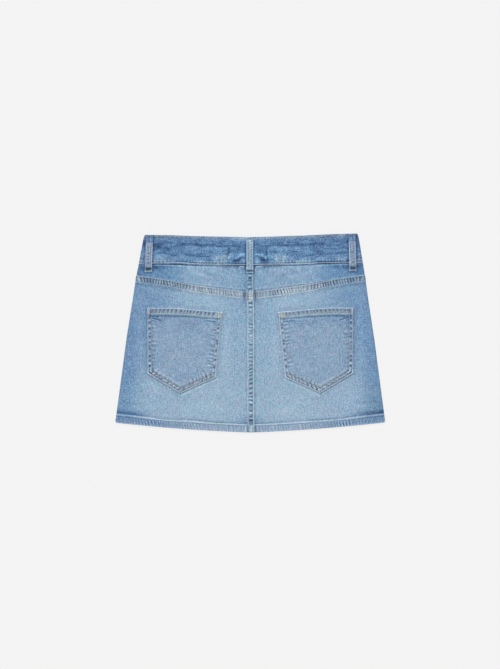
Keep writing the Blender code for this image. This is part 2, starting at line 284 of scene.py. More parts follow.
# ================================================================ creases and fades
# Creases are soft troughs (depth below zero) and ridges along a few points, in mm in
# plan.  above and below are their breadths on the two sides of the line, tone is the
# painted shade and highlight they put on the cloth's colour (below zero is darker) and
# fade is how slowly they start and end.
Crease = namedtuple("Crease", "points depth above below tone fade")
BAND_CREASES = [
    # the long upper trough
    Crease([(-151.8, 154.2), (-143.3, 155.4), (-134.8, 154.5), (-126.3, 152.8)], -0.30, 1.5, 2.4, -0.14, 10.4),
    Crease([(-126.3, 152.7), (-117.8, 151.5), (-107.6, 151.1), (-99.1, 151.6), (-90.6, 150.5), (-80.4, 148.6)], -0.50, 1.6, 2.6, -0.24, 10.4),
    Crease([(-87.2, 149.4), (-75.3, 149.4), (-63.4, 149.1), (-53.2, 148.2), (-41.3, 147.7), (-31.1, 147.6)], -0.55, 1.5, 2.2, -0.26, 9.1),
    Crease([(-34.5, 148.1), (-22.6, 148.4), (-8, 148.9)], -0.50, 1.4, 2.4, -0.24, 5.2),
    Crease([(6.3, 151.5), (13.1, 149.4), (21.6, 147.9), (31.8, 148.1), (42, 148.9)], -0.50, 1.5, 2.4, -0.24, 6.5),
    Crease([(38.6, 148.6), (50.5, 148.9), (60.7, 149.1), (69.2, 149.4), (79.4, 151)], -0.55, 1.5, 2.2, -0.26, 9.1),
    Crease([(74.3, 150.5), (84.5, 149.9), (94.7, 150.6), (103.2, 152.2), (113.4, 153), (123.6, 152.5), (132.1, 153.7)], -0.50, 1.6, 2.6, -0.23, 11.7),
    Crease([(132.1, 153.3), (140.6, 155.6), (149.1, 156.4), (155.9, 156.1), (165.2, 157.9)], -0.30, 1.5, 2.4, -0.13, 10.4),
    # the long lower trough
    Crease([(-165.4, 136.7), (-153.5, 136.9), (-145, 135.8), (-136.5, 133.5), (-126.3, 132.3), (-114.4, 131.8)], -0.46, 1.4, 2.5, -0.22, 9.1),
    Crease([(-114.4, 132.4), (-105.9, 132.9), (-95.7, 131.4), (-83.8, 128.5)], -0.44, 1.4, 2.2, -0.20, 7.8),
    Crease([(-94, 132.4), (-80.4, 131.2), (-64.3, 130.2)], -0.42, 1.4, 2.1, -0.20, 7.8),
    Crease([(81.1, 130.6), (93, 131.8), (104.9, 132.6), (115.1, 134.5)], -0.44, 1.4, 2.4, -0.20, 7.8),
    Crease([(111.7, 134), (127, 133.6), (137.2, 135.2), (152.5, 136.2), (167.8, 137.2)], -0.46, 1.4, 2.5, -0.22, 9.1),
    Crease([(64.1, 137.4), (74.3, 138.4), (82.8, 138)], -0.34, 1.3, 2.0, -0.18, 7.8),
    Crease([(72.6, 126.1), (79.4, 127), (86.2, 128.3)], -0.34, 1.3, 1.8, -0.18, 7.8),
    # what swells above and below them
    Crease([(-162, 160.1), (-153.5, 159.8), (-141.6, 158.6)], 0.28, 1.6, 2.0, 0.12, 7.8),
    Crease([(-139.9, 162.9), (-124.6, 162.4), (-109.3, 160.7)], 0.24, 1.4, 2.0, 0.10, 10.4),
    Crease([(-119.5, 155.6), (-107.6, 155), (-95.7, 154.9)], 0.26, 1.3, 1.9, 0.13, 9.1),
    Crease([(-102.5, 154.2), (-92.3, 153.9)], 0.24, 1.1, 1.6, 0.12, 5.2),
    Crease([(-92.3, 159), (-73.6, 159.5), (-48.1, 159.3)], 0.30, 2.2, 2.4, 0.09, 15.6),
    Crease([(-31.1, 157.9), (-19.2, 157.3), (-9, 158.3)], 0.34, 3.0, 3.0, 0.17, 7.8),
    Crease([(-17.5, 160.3), (-8.3, 157.3)], 0.20, 1.3, 1.6, 0.12, 5.2),
    Crease([(7.3, 155.6), (18.2, 157.6), (30.1, 156.2)], 0.36, 3.0, 3.0, 0.19, 9.1),
    Crease([(33.5, 158.3), (52.2, 157.9), (64.1, 159.5)], 0.28, 2.4, 2.6, 0.07, 13),
    Crease([(89.6, 153.9), (99.8, 154.5), (110, 154.7)], 0.26, 1.2, 1.8, 0.14, 6.5),
    Crease([(113.4, 155.4), (121.9, 155.7)], 0.26, 1.3, 1.7, 0.14, 5.2),
    Crease([(104.9, 163), (115.1, 162.4)], 0.20, 1.5, 2.2, 0.10, 6.5),
    Crease([(142.3, 164.1), (154.2, 162), (162.7, 162.7)], 0.28, 2.0, 2.6, 0.10, 9.1),
    Crease([(146.5, 152), (154.2, 152.5)], 0.26, 1.2, 1.6, 0.13, 5.2),
    Crease([(-151.8, 150.5), (-145, 150.6)], 0.24, 1.2, 1.6, 0.14, 5.2),
    Crease([(-134.8, 149.4), (-127.2, 149.6)], 0.24, 1.3, 1.8, 0.14, 5.2),
    Crease([(-112.7, 146.4), (-99.1, 146.7), (-87.2, 145.7)], 0.30, 1.6, 2.2, 0.12, 9.1),
    Crease([(-88.9, 145.2), (-78.7, 144), (-66.8, 144.7)], 0.34, 1.4, 1.9, 0.16, 6.5),
    Crease([(-73.6, 145.7), (-63.4, 143.7)], 0.28, 1.1, 1.5, 0.14, 5.2),
    Crease([(-61.7, 145.4), (-54.9, 144), (-46.4, 142.1)], 0.34, 1.4, 1.9, 0.17, 5.2),
    Crease([(-44.7, 145.5), (-37.9, 144.3)], 0.34, 1.4, 1.8, 0.20, 5.1),
    Crease([(-32.8, 144.3), (-26, 142.3)], 0.34, 1.3, 1.6, 0.18, 5.1),
    Crease([(31.1, 145.2), (42, 145.5), (52.2, 146.4)], 0.34, 1.3, 1.9, 0.16, 6.5),
    Crease([(45.4, 141.6), (53.9, 143)], 0.36, 1.2, 1.6, 0.22, 5.1),
    Crease([(55.6, 145.5), (65.8, 145.7)], 0.30, 1.2, 1.7, 0.16, 5.2),
    Crease([(65.8, 144), (77.7, 144.7), (89.6, 145.5)], 0.28, 1.3, 1.9, 0.13, 7.8),
    Crease([(77.7, 140.8), (89.6, 142.1)], 0.30, 1.2, 1.6, 0.15, 5.2),
    Crease([(89.6, 139.9), (99.8, 140.8)], 0.28, 1.1, 1.5, 0.15, 5.2),
    Crease([(110, 148.8), (116.8, 148.9)], 0.26, 1.1, 1.6, 0.15, 5.2),
    Crease([(121.9, 142), (135.5, 141.6)], 0.22, 1.5, 2.0, 0.08, 7.8),
    Crease([(157.6, 140.6), (167.8, 141.3)], 0.24, 1.2, 1.6, 0.11, 5.2),
    Crease([(-165.4, 138.7), (-153.5, 138.9)], 0.28, 1.0, 1.4, 0.16, 5.2),
    Crease([(-109.3, 138), (-94, 138.9), (-78.7, 139.2)], 0.26, 1.4, 2.0, 0.10, 9.1),
    # short dark ones between them
    Crease([(-136.5, 164.1), (-126.3, 161.8), (-112.7, 161.2)], -0.24, 1.2, 1.8, -0.15, 6.5),
    Crease([(-77, 155.9), (-62.6, 156.2)], -0.30, 1.1, 1.6, -0.17, 5.2),
    Crease([(-54.9, 152.2), (-43.9, 152.5)], -0.28, 1.1, 1.6, -0.16, 5.2),
    Crease([(63.2, 157.1), (75.1, 155.7)], -0.30, 1.1, 1.6, -0.18, 5.2),
    Crease([(44.5, 152.8), (51.3, 152.2)], -0.26, 1.4, 1.6, -0.17, 5.1),
    Crease([(98.1, 157.8), (111.7, 157.3)], -0.28, 1.1, 1.5, -0.16, 5.2),
    Crease([(125.3, 161.7), (133.8, 160.7)], -0.24, 1.2, 1.6, -0.14, 5.2),
    Crease([(-142.5, 142.3), (-132.3, 143.5)], -0.28, 1.2, 1.6, -0.15, 5.2),
    Crease([(-162, 145), (-151.8, 144.7)], -0.26, 2.0, 2.6, -0.12, 5.2),
    Crease([(-120.4, 137.5), (-111.9, 138.9)], -0.28, 1.2, 1.6, -0.17, 5.2),
    Crease([(-71.9, 137), (-64.3, 137.2)], -0.30, 1.1, 1.4, -0.22, 5.1),
    Crease([(-61.2, 142.1), (-55.8, 142.5)], -0.26, 1.1, 1.4, -0.19, 4.25),
    Crease([(-48.8, 133.6), (-42, 134)], -0.28, 1.0, 1.2, -0.22, 5.1),
    Crease([(-32.8, 140.3), (-30.4, 139.9)], -0.30, 1.4, 1.5, -0.28, 2.55),
    Crease([(-17.5, 138.6), (-8, 137)], -0.34, 1.2, 1.6, -0.20, 5.1),
    Crease([(-24.3, 142), (-18.4, 139.2)], -0.30, 1.4, 1.6, -0.16, 5.1),
    Crease([(6.3, 139.9), (11.4, 142)], -0.30, 1.2, 1.5, -0.18, 5.1),
    Crease([(5.6, 135.5), (13.1, 137.2), (19.9, 136.3)], -0.36, 1.0, 1.5, -0.24, 5.1),
    Crease([(13.1, 142), (19.9, 138.6)], -0.28, 1.3, 1.6, -0.15, 5.1),
    Crease([(32.6, 140.6), (42, 136.9), (50.5, 138.6)], -0.34, 1.3, 2.0, -0.18, 5.2),
    Crease([(88.9, 142), (92.3, 142.6)], -0.26, 1.1, 1.4, -0.18, 3.4),
    Crease([(111.7, 139.4), (119.8, 138)], -0.28, 1.2, 1.6, -0.20, 4.25),
    Crease([(104.9, 145.4), (115.1, 144)], -0.22, 1.1, 1.5, -0.11, 5.2),
    Crease([(133.8, 144.3), (145.7, 143.3)], -0.28, 1.1, 1.6, -0.16, 5.2),
    Crease([(144, 148.6), (154.2, 150.8), (161, 151.1)], -0.26, 1.1, 1.6, -0.14, 6.5),
    Crease([(155, 146.9), (165.2, 145.9)], -0.32, 1.2, 1.8, -0.22, 5.2),
    Crease([(128.7, 148.4), (135.5, 149.4)], -0.22, 1.3, 1.8, -0.10, 5.2),
    # the drags to the centre loop
    Crease([(-36.9, 135.2), (-32.5, 133.5), (-30.1, 129.7), (-26.7, 127.2)], 0.50, 1.3, 1.5, 0.38, 5.1),
    Crease([(-27.7, 127), (-22.6, 127.7), (-18.5, 130.6), (-14.8, 132.9), (-7.3, 134.1)], 0.60, 1.9, 1.8, 0.44, 4.25),
    Crease([(-17.5, 135.2), (-7.3, 136.2)], 0.40, 1.2, 1.4, 0.18, 5.1),
    Crease([(-7.3, 130.4), (-14.8, 128.5), (-18.5, 125.3), (-23.6, 122.2), (-31.8, 121.5)], -0.60, 1.8, 2.8, -0.27, 5.1),
    Crease([(5.3, 134), (13.1, 134.1), (19.9, 132.4), (25, 129), (28.4, 126.6)], 0.60, 1.7, 1.7, 0.42, 4.25),
    Crease([(5.3, 137.7), (10.7, 138.2)], 0.36, 0.9, 1.1, 0.22, 3.4),
    Crease([(8.3, 130.4), (13.8, 129), (19.2, 127), (23.3, 123.6), (29.1, 120.5)], -0.60, 1.8, 2.8, -0.26, 5.1),
    Crease([(16.5, 123.6), (26.7, 121.9)], -0.36, 2.0, 2.0, -0.16, 5.2),
    # lower edge: short paler places and the dark runs over the stitching
    Crease([(-163.7, 131.4), (-156.1, 130.4)], 0.22, 1.6, 1.8, 0.14, 5.1),
    Crease([(-149.1, 131.9), (-142.6, 130.6)], 0.26, 1.6, 1.8, 0.18, 5.1),
    Crease([(-94, 126.1), (-87.9, 126)], 0.30, 1.1, 1.2, 0.24, 4.25),
    Crease([(-134.8, 128.7), (-132.8, 125.3)], -0.24, 1.2, 1.2, -0.15, 3.4),
    Crease([(-105.9, 127), (-103.9, 123.9)], -0.24, 1.2, 1.2, -0.15, 3.4),
    Crease([(-75.3, 122.9), (-64.1, 123.9)], -0.30, 1.3, 1.6, -0.20, 5.1),
    Crease([(-54.9, 124.6), (-46.4, 125.3)], -0.22, 1.2, 1.4, -0.14, 5.1),
    Crease([(65.8, 122.2), (80.2, 121.5)], -0.30, 1.1, 1.5, -0.20, 5.2),
    Crease([(66.8, 125.1), (73.6, 124.8)], 0.26, 1.0, 1.2, 0.18, 5.1),
    Crease([(104.2, 129.7), (105.2, 124.3)], -0.26, 1.5, 1.6, -0.16, 3.4),
    Crease([(133.1, 131.4), (134.1, 124.3)], -0.26, 1.3, 1.4, -0.14, 3.4),
    Crease([(143.3, 131.9), (154.2, 132.4)], 0.26, 1.3, 1.6, 0.16, 5.2),
    Crease([(160.3, 127.3), (164.4, 130.4)], 0.24, 1.1, 1.3, 0.13, 3.4),
    Crease([(87.9, 126.6), (94.7, 127.7)], 0.28, 1.2, 1.5, 0.18, 5.1),
    Crease([(-129.7, 121.9), (-117.8, 122.4), (-105.9, 121), (-88.9, 120.5)], -0.34, 0.9, 1.2, -0.34, 5.2),
    Crease([(104.9, 121.9), (121.9, 122.2), (144, 121.9), (166.1, 121.7)], -0.36, 0.9, 1.2, -0.36, 6.5),
    Crease([(-133.1, 116.8), (-121.2, 116.6), (-107.6, 116.3)], -0.30, 1.2, 1.0, -0.34, 5.2),
    Crease([(110, 118.5), (123.6, 118.7), (137.2, 118.5)], -0.30, 1.2, 1.0, -0.34, 5.2),
]
# The same cloth, plainer, round the front.
FRONT_BAND_CREASES = [
    Crease([(-168, 153.8), (-120, 151.0), (-70, 149.6), (-34, 149.0)], -0.42, 1.6, 2.6, -0.18, 12),
    Crease([(40, 149.2), (82, 149.8), (126, 152.2), (166, 154.6)], -0.42, 1.6, 2.6, -0.18, 12),
    Crease([(-164, 134.0), (-128, 131.2), (-108, 130.4)], -0.36, 1.5, 2.4, -0.16, 8),
    Crease([(-78, 128.8), (-52, 129.8), (-28, 132.4)], -0.36, 1.5, 2.4, -0.16, 7),
    Crease([(30, 132.8), (56, 130.0), (80, 129.0)], -0.36, 1.5, 2.4, -0.16, 7),
    Crease([(106, 131.0), (134, 132.0), (162, 134.8)], -0.36, 1.5, 2.4, -0.16, 8),
    Crease([(-140, 144.6), (-114, 143.2)], -0.22, 1.3, 1.8, -0.12, 6),
    Crease([(-66, 141.4), (-42, 142.8)], -0.22, 1.3, 1.8, -0.12, 6),
    Crease([(48, 142.4), (70, 141.0)], -0.22, 1.3, 1.8, -0.12, 6),
    Crease([(112, 143.8), (144, 145.6)], -0.22, 1.3, 1.8, -0.12, 6),
    Crease([(-152, 125.2), (-132, 124.2)], -0.20, 1.2, 1.6, 0.12, 6),
    Crease([(-60, 122.6), (-38, 123.4)], -0.20, 1.2, 1.6, 0.14, 6),
    Crease([(36, 123.6), (62, 122.4)], -0.20, 1.2, 1.6, 0.14, 6),
    Crease([(130, 124.6), (154, 126.0)], -0.20, 1.2, 1.6, 0.12, 6),
    Crease([(-120, 159.0), (-84, 157.2)], -0.18, 1.4, 2.0, 0.08, 9),
    Crease([(80, 157.4), (118, 159.4)], -0.18, 1.4, 2.0, 0.08, 9),
]
BODY_CREASES = [
    # the yoke, dragged towards the centre loop
    Crease([(-108, 103.4), (-84, 99.6), (-62, 94.0)], 0.42, 3.0, 4.0, 0.06, 12),
    Crease([(-84, 104.2), (-66, 99.4), (-48, 95.2)], -0.36, 2.6, 3.2, -0.09, 10),
    Crease([(62, 94.2), (84, 99.8), (108, 103.6)], 0.42, 3.0, 4.0, 0.06, 12),
    Crease([(48, 95.4), (66, 99.6), (84, 104.4)], -0.36, 2.6, 3.2, -0.09, 10),
    Crease([(-22.5, 112.5), (-21.6, 104.5)], -0.40, 1.2, 1.6, -0.18, 3),
    Crease([(-19.4, 111.5), (-18.6, 106.0)], 0.26, 1.2, 1.2, 0.08, 3),
    Crease([(23.6, 112.5), (22.6, 103.8)], -0.40, 1.2, 1.6, -0.18, 3),
    Crease([(26.8, 111.0), (26.2, 105.0)], 0.30, 1.2, 1.2, 0.12, 3),
    Crease([(-13.0, 110.0), (-9.6, 99.0)], -0.34, 1.6, 2.2, -0.09, 4),
    Crease([(13.0, 110.0), (9.4, 99.0)], -0.34, 1.6, 2.2, -0.09, 4),
    Crease([(-150, 108.0), (-136, 104.6)], 0.26, 1.8, 2.2, 0.04, 5),
    Crease([(138, 104.6), (152, 108.0)], 0.26, 1.8, 2.2, 0.04, 5),
    Crease([(-144, 101.0), (-120, 95.0)], 0.24, 2.4, 2.8, 0.05, 8),
    Crease([(120, 96.0), (142, 101.6)], 0.24, 2.4, 2.8, 0.05, 8),
    # what the waist seam throws up beside the centre loop, with a strong painted highlight on the crests
    Crease([(-18.4, 112.9), (-10.0, 112.8)], 0.30, 1.0, 1.1, 0.72, 1.0),
    Crease([(10.4, 112.7), (20.0, 112.9)], 0.30, 1.0, 1.1, 0.68, 1.0),
    Crease([(-17, 106.6), (-13, 103.0)], 0.18, 1.1, 1.4, 0.10, 2),
    Crease([(14, 103.4), (19, 107.0)], 0.18, 1.1, 1.4, 0.08, 2),
    # drags in the panels
    Crease([(-221, -116.6), (-200, -119.4), (-176, -120.6)], -0.30, 1.6, 2.4, -0.08, 10),
    Crease([(-214, -124.0), (-196, -126.4), (-170, -127.0)], 0.26, 2.0, 2.0, 0.03, 10),
    Crease([(-190, -131.0), (-150, -134.6), (-118, -136.0)], -0.22, 1.8, 2.6, -0.04, 14),
    Crease([(176, -119.0), (202, -117.6), (221, -114.8)], -0.30, 1.6, 2.4, -0.08, 10),
    Crease([(170, -125.4), (196, -124.4), (214, -122.0)], 0.26, 2.0, 2.0, 0.03, 10),
    Crease([(118, -134.6), (150, -133.0), (188, -129.6)], -0.22, 1.8, 2.6, -0.04, 14),
    Crease([(-37, 24.0), (-26, 4.0), (-22, -18.0)], -0.22, 5.0, 7.0, -0.02, 16),
    Crease([(37, 24.4), (26, 4.4), (22, -18.0)], -0.22, 5.0, 7.0, -0.02, 16),
    Crease([(-92, 56.0), (-66, 49.0), (-48, 40.0)], 0.34, 4.0, 5.0, 0.02, 14),
    Crease([(92, 56.6), (66, 49.6), (48, 40.4)], 0.34, 4.0, 5.0, 0.02, 14),
    Crease([(-192, 40.0), (-190, -10.0), (-194, -52.0)], 0.30, 4.0, 5.0, 0.02, 24),
    Crease([(192, 41.0), (190, -9.0), (194, -50.0)], 0.30, 4.0, 5.0, 0.02, 24),
    Crease([(-100, -116.0), (-72, -126.0), (-36, -131.0)], 0.24, 5.0, 6.0, 0.02, 18),
    Crease([(100, -115.0), (72, -125.4), (36, -130.6)], 0.24, 5.0, 6.0, 0.02, 18),
]
POCKET_CREASES = [
    # what sags in from the top corners, under the turned hem
    Crease([(-167.6, 25.2), (-161.5, 24.8), (-157.0, 23.0), (-150.5, 21.0)], -0.42, 1.0, 1.3, -0.32, 3),
    Crease([(-165.0, 22.6), (-160.0, 21.8), (-154.0, 19.6)], 0.30, 1.0, 1.2, 0.16, 3),
    Crease([(-156.5, 27.0), (-151.0, 25.6)], 0.24, 0.9, 1.1, 0.14, 2.5),
    Crease([(-77.0, 21.6), (-67.0, 20.6), (-61.0, 19.4), (-57.0, 17.6)], -0.42, 1.1, 1.4, -0.32, 5),
    Crease([(-75.0, 24.0), (-66.0, 23.4), (-58.5, 23.0)], 0.30, 1.0, 1.2, 0.16, 4),
    Crease([(-70.0, 16.6), (-62.0, 14.6)], 0.22, 1.2, 1.4, 0.08, 4),
    Crease([(57.0, 18.0), (61.0, 19.6), (69.0, 20.8), (78.0, 21.4)], -0.40, 1.1, 1.4, -0.28, 5),
    Crease([(59.0, 23.4), (68.0, 23.8), (77.0, 24.4)], 0.28, 1.0, 1.2, 0.13, 4),
    Crease([(151.0, 22.0), (157.0, 23.8), (161.6, 25.8), (167.6, 26.6)], -0.42, 1.0, 1.3, -0.30, 3),
    Crease([(154.0, 20.4), (160.0, 22.6), (165.0, 23.6)], 0.30, 1.0, 1.2, 0.14, 3),
    # drags that run in from the sides
    Crease([(-168.0, 2.0), (-160.0, 3.4)], -0.20, 1.1, 1.4, -0.10, 4),
    Crease([(-168.0, -29.0), (-158.0, -27.6)], -0.20, 1.1, 1.4, -0.12, 4),
    Crease([(-168.0, -52.0), (-159.0, -54.0)], -0.22, 1.3, 1.6, -0.14, 4),
    Crease([(-61.0, -23.0), (-68.0, -26.0)], -0.22, 1.3, 1.6, -0.14, 4),
    Crease([(-66.0, -50.0), (-73.0, -47.0)], -0.22, 1.3, 1.6, -0.12, 4),
    Crease([(60.0, -12.0), (69.0, -9.0)], -0.20, 1.1, 1.5, -0.12, 4),
    Crease([(64.0, -40.0), (74.0, -39.0)], -0.20, 1.1, 1.5, -0.12, 4),
    Crease([(168.0, -4.0), (158.0, -1.0)], -0.22, 1.2, 1.5, -0.14, 4),
    Crease([(168.0, -19.0), (157.0, -18.0)], -0.22, 1.2, 1.5, -0.12, 4),
    Crease([(168.0, -47.0), (159.0, -46.0)], -0.22, 1.2, 1.5, -0.14, 4),
]
FRONT_CREASES = [
    Crease([(-150, 96.0), (-96, 80.0), (-40, 74.0)], -0.30, 3.0, 4.0, -0.06, 20),
    Crease([(150, 97.0), (96, 81.0), (40, 75.0)], -0.30, 3.0, 4.0, -0.06, 20),
    Crease([(-120, 104.0), (-84, 92.0), (-52, 88.0)], 0.26, 2.6, 3.4, 0.05, 14),
    Crease([(120, 105.0), (84, 93.0), (52, 89.0)], 0.26, 2.6, 3.4, 0.05, 14),
    Crease([(-176, 102.0), (-150, 108.4), (-128, 110.0)], -0.24, 1.8, 2.6, -0.06, 8),
    Crease([(176, 103.0), (150, 109.0), (128, 110.6)], -0.24, 1.8, 2.6, -0.06, 8),
]

# Fades: soft patches, the same on both sides; x is the distance from the centre.  The
# last three are painted shade beside the side loops, just below the waist seam.
Patch = namedtuple("Patch", "x y rx ry tone")
BODY_FADES_AND_SHADE = [
    Patch(48, 44, 14, 8, 0.02),
    Patch(145, 60, 28, 12, -0.055),
    Patch(42, -26, 7, 42, 0.03),
    Patch(150, -118, 24, 16, -0.055),
    Patch(55, -142, 42, 11, 0.015),
    Patch(116, -113, 13, 12, -0.03),
    Patch(216, -128, 18, 22, -0.015),
    Patch(212, -60, 12, 60, -0.02),
    Patch(12, 90, 9, 22, -0.05),
    Patch(190, 62, 16, 14, 0.0),
    Patch(10, 52, 7, 8, -0.10),
    Patch(9, -148, 12, 7, -0.16),
    Patch(206, -143, 24, 4.5, -0.10),
    # painted shade beside the side loops
    Patch(155, 112.5, 14, 3.6, -0.12),
    Patch(184, 112, 5, 5, -0.14),
    Patch(162, 111, 4, 4, -0.16),
]
POCKET_FADES = [
    Patch(88, 12, 26, 14, -0.02),
    Patch(150, -18, 16, 20, 0.02),
    Patch(108, -48, 30, 16, 0.03),
    Patch(150, -62, 10, 8, 0.03),
    Patch(120, -72, 26, 7, -0.03),
    Patch(168, 22, 6, 10, -0.05),
    Patch(66, -20, 8, 24, -0.02),
    Patch(112, 16, 50, 7, -0.03),
]

# Marks on the waistband, each in its own place: rubbed places, smudges of a tack, and
# the blue that is left where nothing rubs; two dark ones are painted shade in the drags' troughs.
Mark = namedtuple("Mark", "x y rx ry tone grey tint")
BAND_MARKS = [
    Mark(-50, 126.5, 12, 6.4, 0.27, 0.95, 0.0),
    Mark(-57.5, 129.4, 2.6, 2.2, 0.10, 0.1, 0.3),
    Mark(-60.0, 122.6, 4.0, 2.0, 0.14, -0.3, -0.4),
    Mark(-42.0, 123.6, 2.2, 3.0, 0.20, 0.0, 0.2),
    Mark(-36.2, 128.4, 1.8, 2.8, 0.32, 0.0, 0.0),
    Mark(-52.4, 128.4, 1.0, 4.4, -0.10, 0.2, 0.0),
    Mark(-45.6, 126.0, 1.0, 4.4, -0.10, 0.2, 0.0),
    Mark(-38.9, 127.0, 0.9, 4.0, -0.16, 0.3, 0.0),
    Mark(-52.0, 124.4, 2.2, 1.4, -0.12, 0.3, -0.4),
    Mark(51, 126.5, 12.5, 6.6, 0.32, 0.80, 0.0),
    Mark(43.7, 127.4, 2.4, 4.2, 0.20, 0.0, -0.2),
    Mark(58.1, 129.0, 2.8, 3.0, 0.20, 0.0, 0.1),
    Mark(36.9, 128.6, 1.6, 1.8, 0.20, 0.0, 0.1),
    Mark(50.5, 124.0, 2.8, 3.4, -0.24, 0.2, -0.3),
    Mark(47.4, 131.0, 0.9, 3.4, -0.08, 0.2, 0.0),
    Mark(63.4, 124.0, 1.2, 4.0, -0.08, 0.2, 0.4),
    Mark(-154, 129.6, 11, 4.4, 0.15, 0.20, -0.3),
    Mark(-150, 121.4, 17, 2.4, 0.15, 0.75, 0.7),
    Mark(-121, 127.6, 12, 3.6, 0.08, 0.0, 0.6),
    Mark(-90, 122.4, 8, 2.8, 0.22, 0.25, -0.1),
    Mark(-97, 144, 18, 6.0, 0.07, 0.0, 0.0),
    Mark(-56, 143, 22, 5.0, 0.07, 0.0, 0.0),
    Mark(56, 144, 20, 5.0, 0.06, 0.0, 0.1),
    Mark(92, 145, 16, 5.0, 0.05, 0.0, 0.1),
    Mark(-156, 147.0, 12, 6.0, -0.10, 0.0, 0.0),
    Mark(-156, 146.0, 3.2, 4.4, -0.03, 0.0, -1.0),
    Mark(-143, 142.4, 9, 6.0, -0.07, 0.0, 0.2),
    Mark(-19, 141.0, 13, 4.4, -0.12, -0.35, -0.2),
    Mark(16.5, 139.8, 9, 4.2, -0.12, -0.35, 0.0),
    Mark(36.5, 138.6, 7, 3.4, -0.09, -0.2, 0.0),
    # painted shade deepening the troughs of the drags beside the centre loop
    Mark(-23, 122.4, 9.5, 4.0, -0.17, -0.3, -0.4),
    Mark(24.0, 122.6, 7.5, 4.4, -0.15, -0.3, -0.5),
    Mark(-11.4, 123.2, 3.8, 3.8, 0.24, 0.50, 0.3),
    Mark(11.0, 123.8, 4.0, 3.8, 0.24, 0.45, 0.3),
    Mark(-36.6, 139.8, 2.2, 5.8, -0.19, 1.7, -1.8),
    Mark(-38.8, 134.0, 2.6, 2.2, -0.14, 1.6, -1.6),
    Mark(-34.5, 146.4, 1.4, 1.2, 0.14, 0.1, 0.2),
    Mark(-40.6, 143.6, 1.7, 2.6, 0.14, 0.2, 0.0),
    Mark(27.4, 139.4, 1.9, 7.6, -0.22, 0.9, -1.8),
    Mark(31.6, 135.0, 1.0, 10.0, 0.20, 0.0, 0.0),
    Mark(29.8, 125.4, 0.9, 6.0, -0.20, 0.2, 0.2),
    Mark(26.0, 127.8, 1.7, 1.4, 0.22, 0.1, 0.3),
    Mark(53.0, 143.0, 1.6, 1.6, 0.14, 0.0, -0.2),
    Mark(88, 121.8, 8.5, 4.2, 0.25, 0.30, -0.5),
    Mark(127, 127.0, 9, 2.6, 0.11, 0.1, -0.6),
    Mark(154, 128.4, 11, 4.0, 0.13, 0.15, 0.0),
    Mark(165, 124.6, 2.6, 5.0, -0.20, 0.0, 0.0),
    Mark(138, 128.0, 3.4, 4.0, -0.05, 0.0, -0.2),
    Mark(69, 161.6, 9, 2.0, 0.10, 0.35, 0.2),
    Mark(112, 161.8, 6, 2.2, 0.08, 0.30, 0.4),
    Mark(155, 164.0, 13, 4.6, 0.06, 0.20, 0.1),
    Mark(-132, 162.8, 10, 1.8, 0.08, 0.30, 0.0),
    Mark(-20, 161.6, 12, 1.8, 0.08, 0.40, -0.4),
    Mark(-182, 152.0, 4.4, 9.0, -0.10, 0.1, 0.2),
    Mark(-186, 130.0, 5.0, 7.0, 0.12, 0.1, -0.2),
    Mark(184, 154.0, 4.0, 9.0, 0.0, 0.1, 0.4),
    Mark(187, 133.0, 5.0, 7.0, 0.12, 0.1, 0.0),
    Mark(-186, 136.8, 4.0, 1.1, -0.14, 0.0, 0.0),
    Mark(-187, 126.6, 4.0, 1.0, -0.12, 0.0, 0.0),
    Mark(186, 138.6, 4.0, 1.1, -0.14, 0.0, 0.0),
    Mark(188, 128.4, 4.0, 1.0, -0.12, 0.0, 0.0),
]

# light darkens the cloth's colour below zero (painted shade) and lightens it above zero (painted highlight)
Look = namedtuple("Look", "height wash grey tint light")


def looks(height, wash, grey, tint, shade_and_marks, deep=0.45, shade=1.15):
    """The argument after tint is what changes within a few mm, such as a stitched line or a
    pucker: it darkens or lightens the cloth more than it changes the fade.  Most of it is
    painted shade and painted highlight of slits, ditches, creases and puckers, and the rest is
    marks and the cloth's uneven tone.  It reaches the colour as the light factor."""
    return Look(height, wash + deep * shade_and_marks, grey * np.ones_like(wash), tint * np.ones_like(wash), shade * shade_and_marks)


def lines(away, *rows):
    """Soft lines side by side, each with its place, breadth and amount."""
    total = np.zeros_like(away)
    for at, breadth, amount in rows:
        total = total + amount * bell(away - at, breadth)
    return total


def spiked(wave):
    """Puckers whose troughs are narrow and deep and whose crests are broad and low: the shape of their painted shade
    and highlight in the colour.
    """
    return 0.55 * np.clip(wave, 0, 2) - 1.25 * np.clip(-wave - 0.05, 0, 2)


def crease_field(x, y, table):
    """Height and fade of all a table's creases at places in plan."""
    height, tone = np.zeros_like(x), np.zeros_like(x)
    for c in table:
        pts = np.array(c.points, float)
        reach = 3.2 * max(c.above, c.below)
        near = (
            (x > pts[:, 0].min() - reach)
            & (x < pts[:, 0].max() + reach)
            & (y > pts[:, 1].min() - reach)
            & (y < pts[:, 1].max() + reach)
        )
        if not near.any():
            continue
        px, py = x[near], y[near]
        best = np.full(px.shape, 1e9)
        run, signed = np.zeros_like(px), np.zeros_like(px)
        start = 0.0
        for a, b in zip(pts[:-1], pts[1:]):
            length = np.hypot(*(b - a))
            ex, ey = (b - a) / length
            t = np.clip((px - a[0]) * ex + (py - a[1]) * ey, 0, length)
            dx, dy = px - a[0] - t * ex, py - a[1] - t * ey
            away = np.hypot(dx, dy)
            closer = away < best
            best = np.where(closer, away, best)
            run = np.where(closer, start + t, run)
            # up the page is above, whichever way the points run
            signed = np.where(closer, (ex * dy - ey * dx) * (1 if ex >= 0 else -1), signed)
            start += length
        ends = smooth(np.minimum(run, start - run) / c.fade + 0.10)
        breadth = np.where(signed > 0, c.above, c.below)
        amount = ends * bell(best, breadth)
        height[near] += c.depth * amount
        tone[near] += c.tone * amount
    return height, tone


def patch_field(x, y, table):
    total = np.zeros_like(x)
    for p in table:
        total += p.tone * np.exp(-(((np.abs(x) - p.x) / p.rx) ** 2) - (((y - p.y) / p.ry) ** 2))
    return total


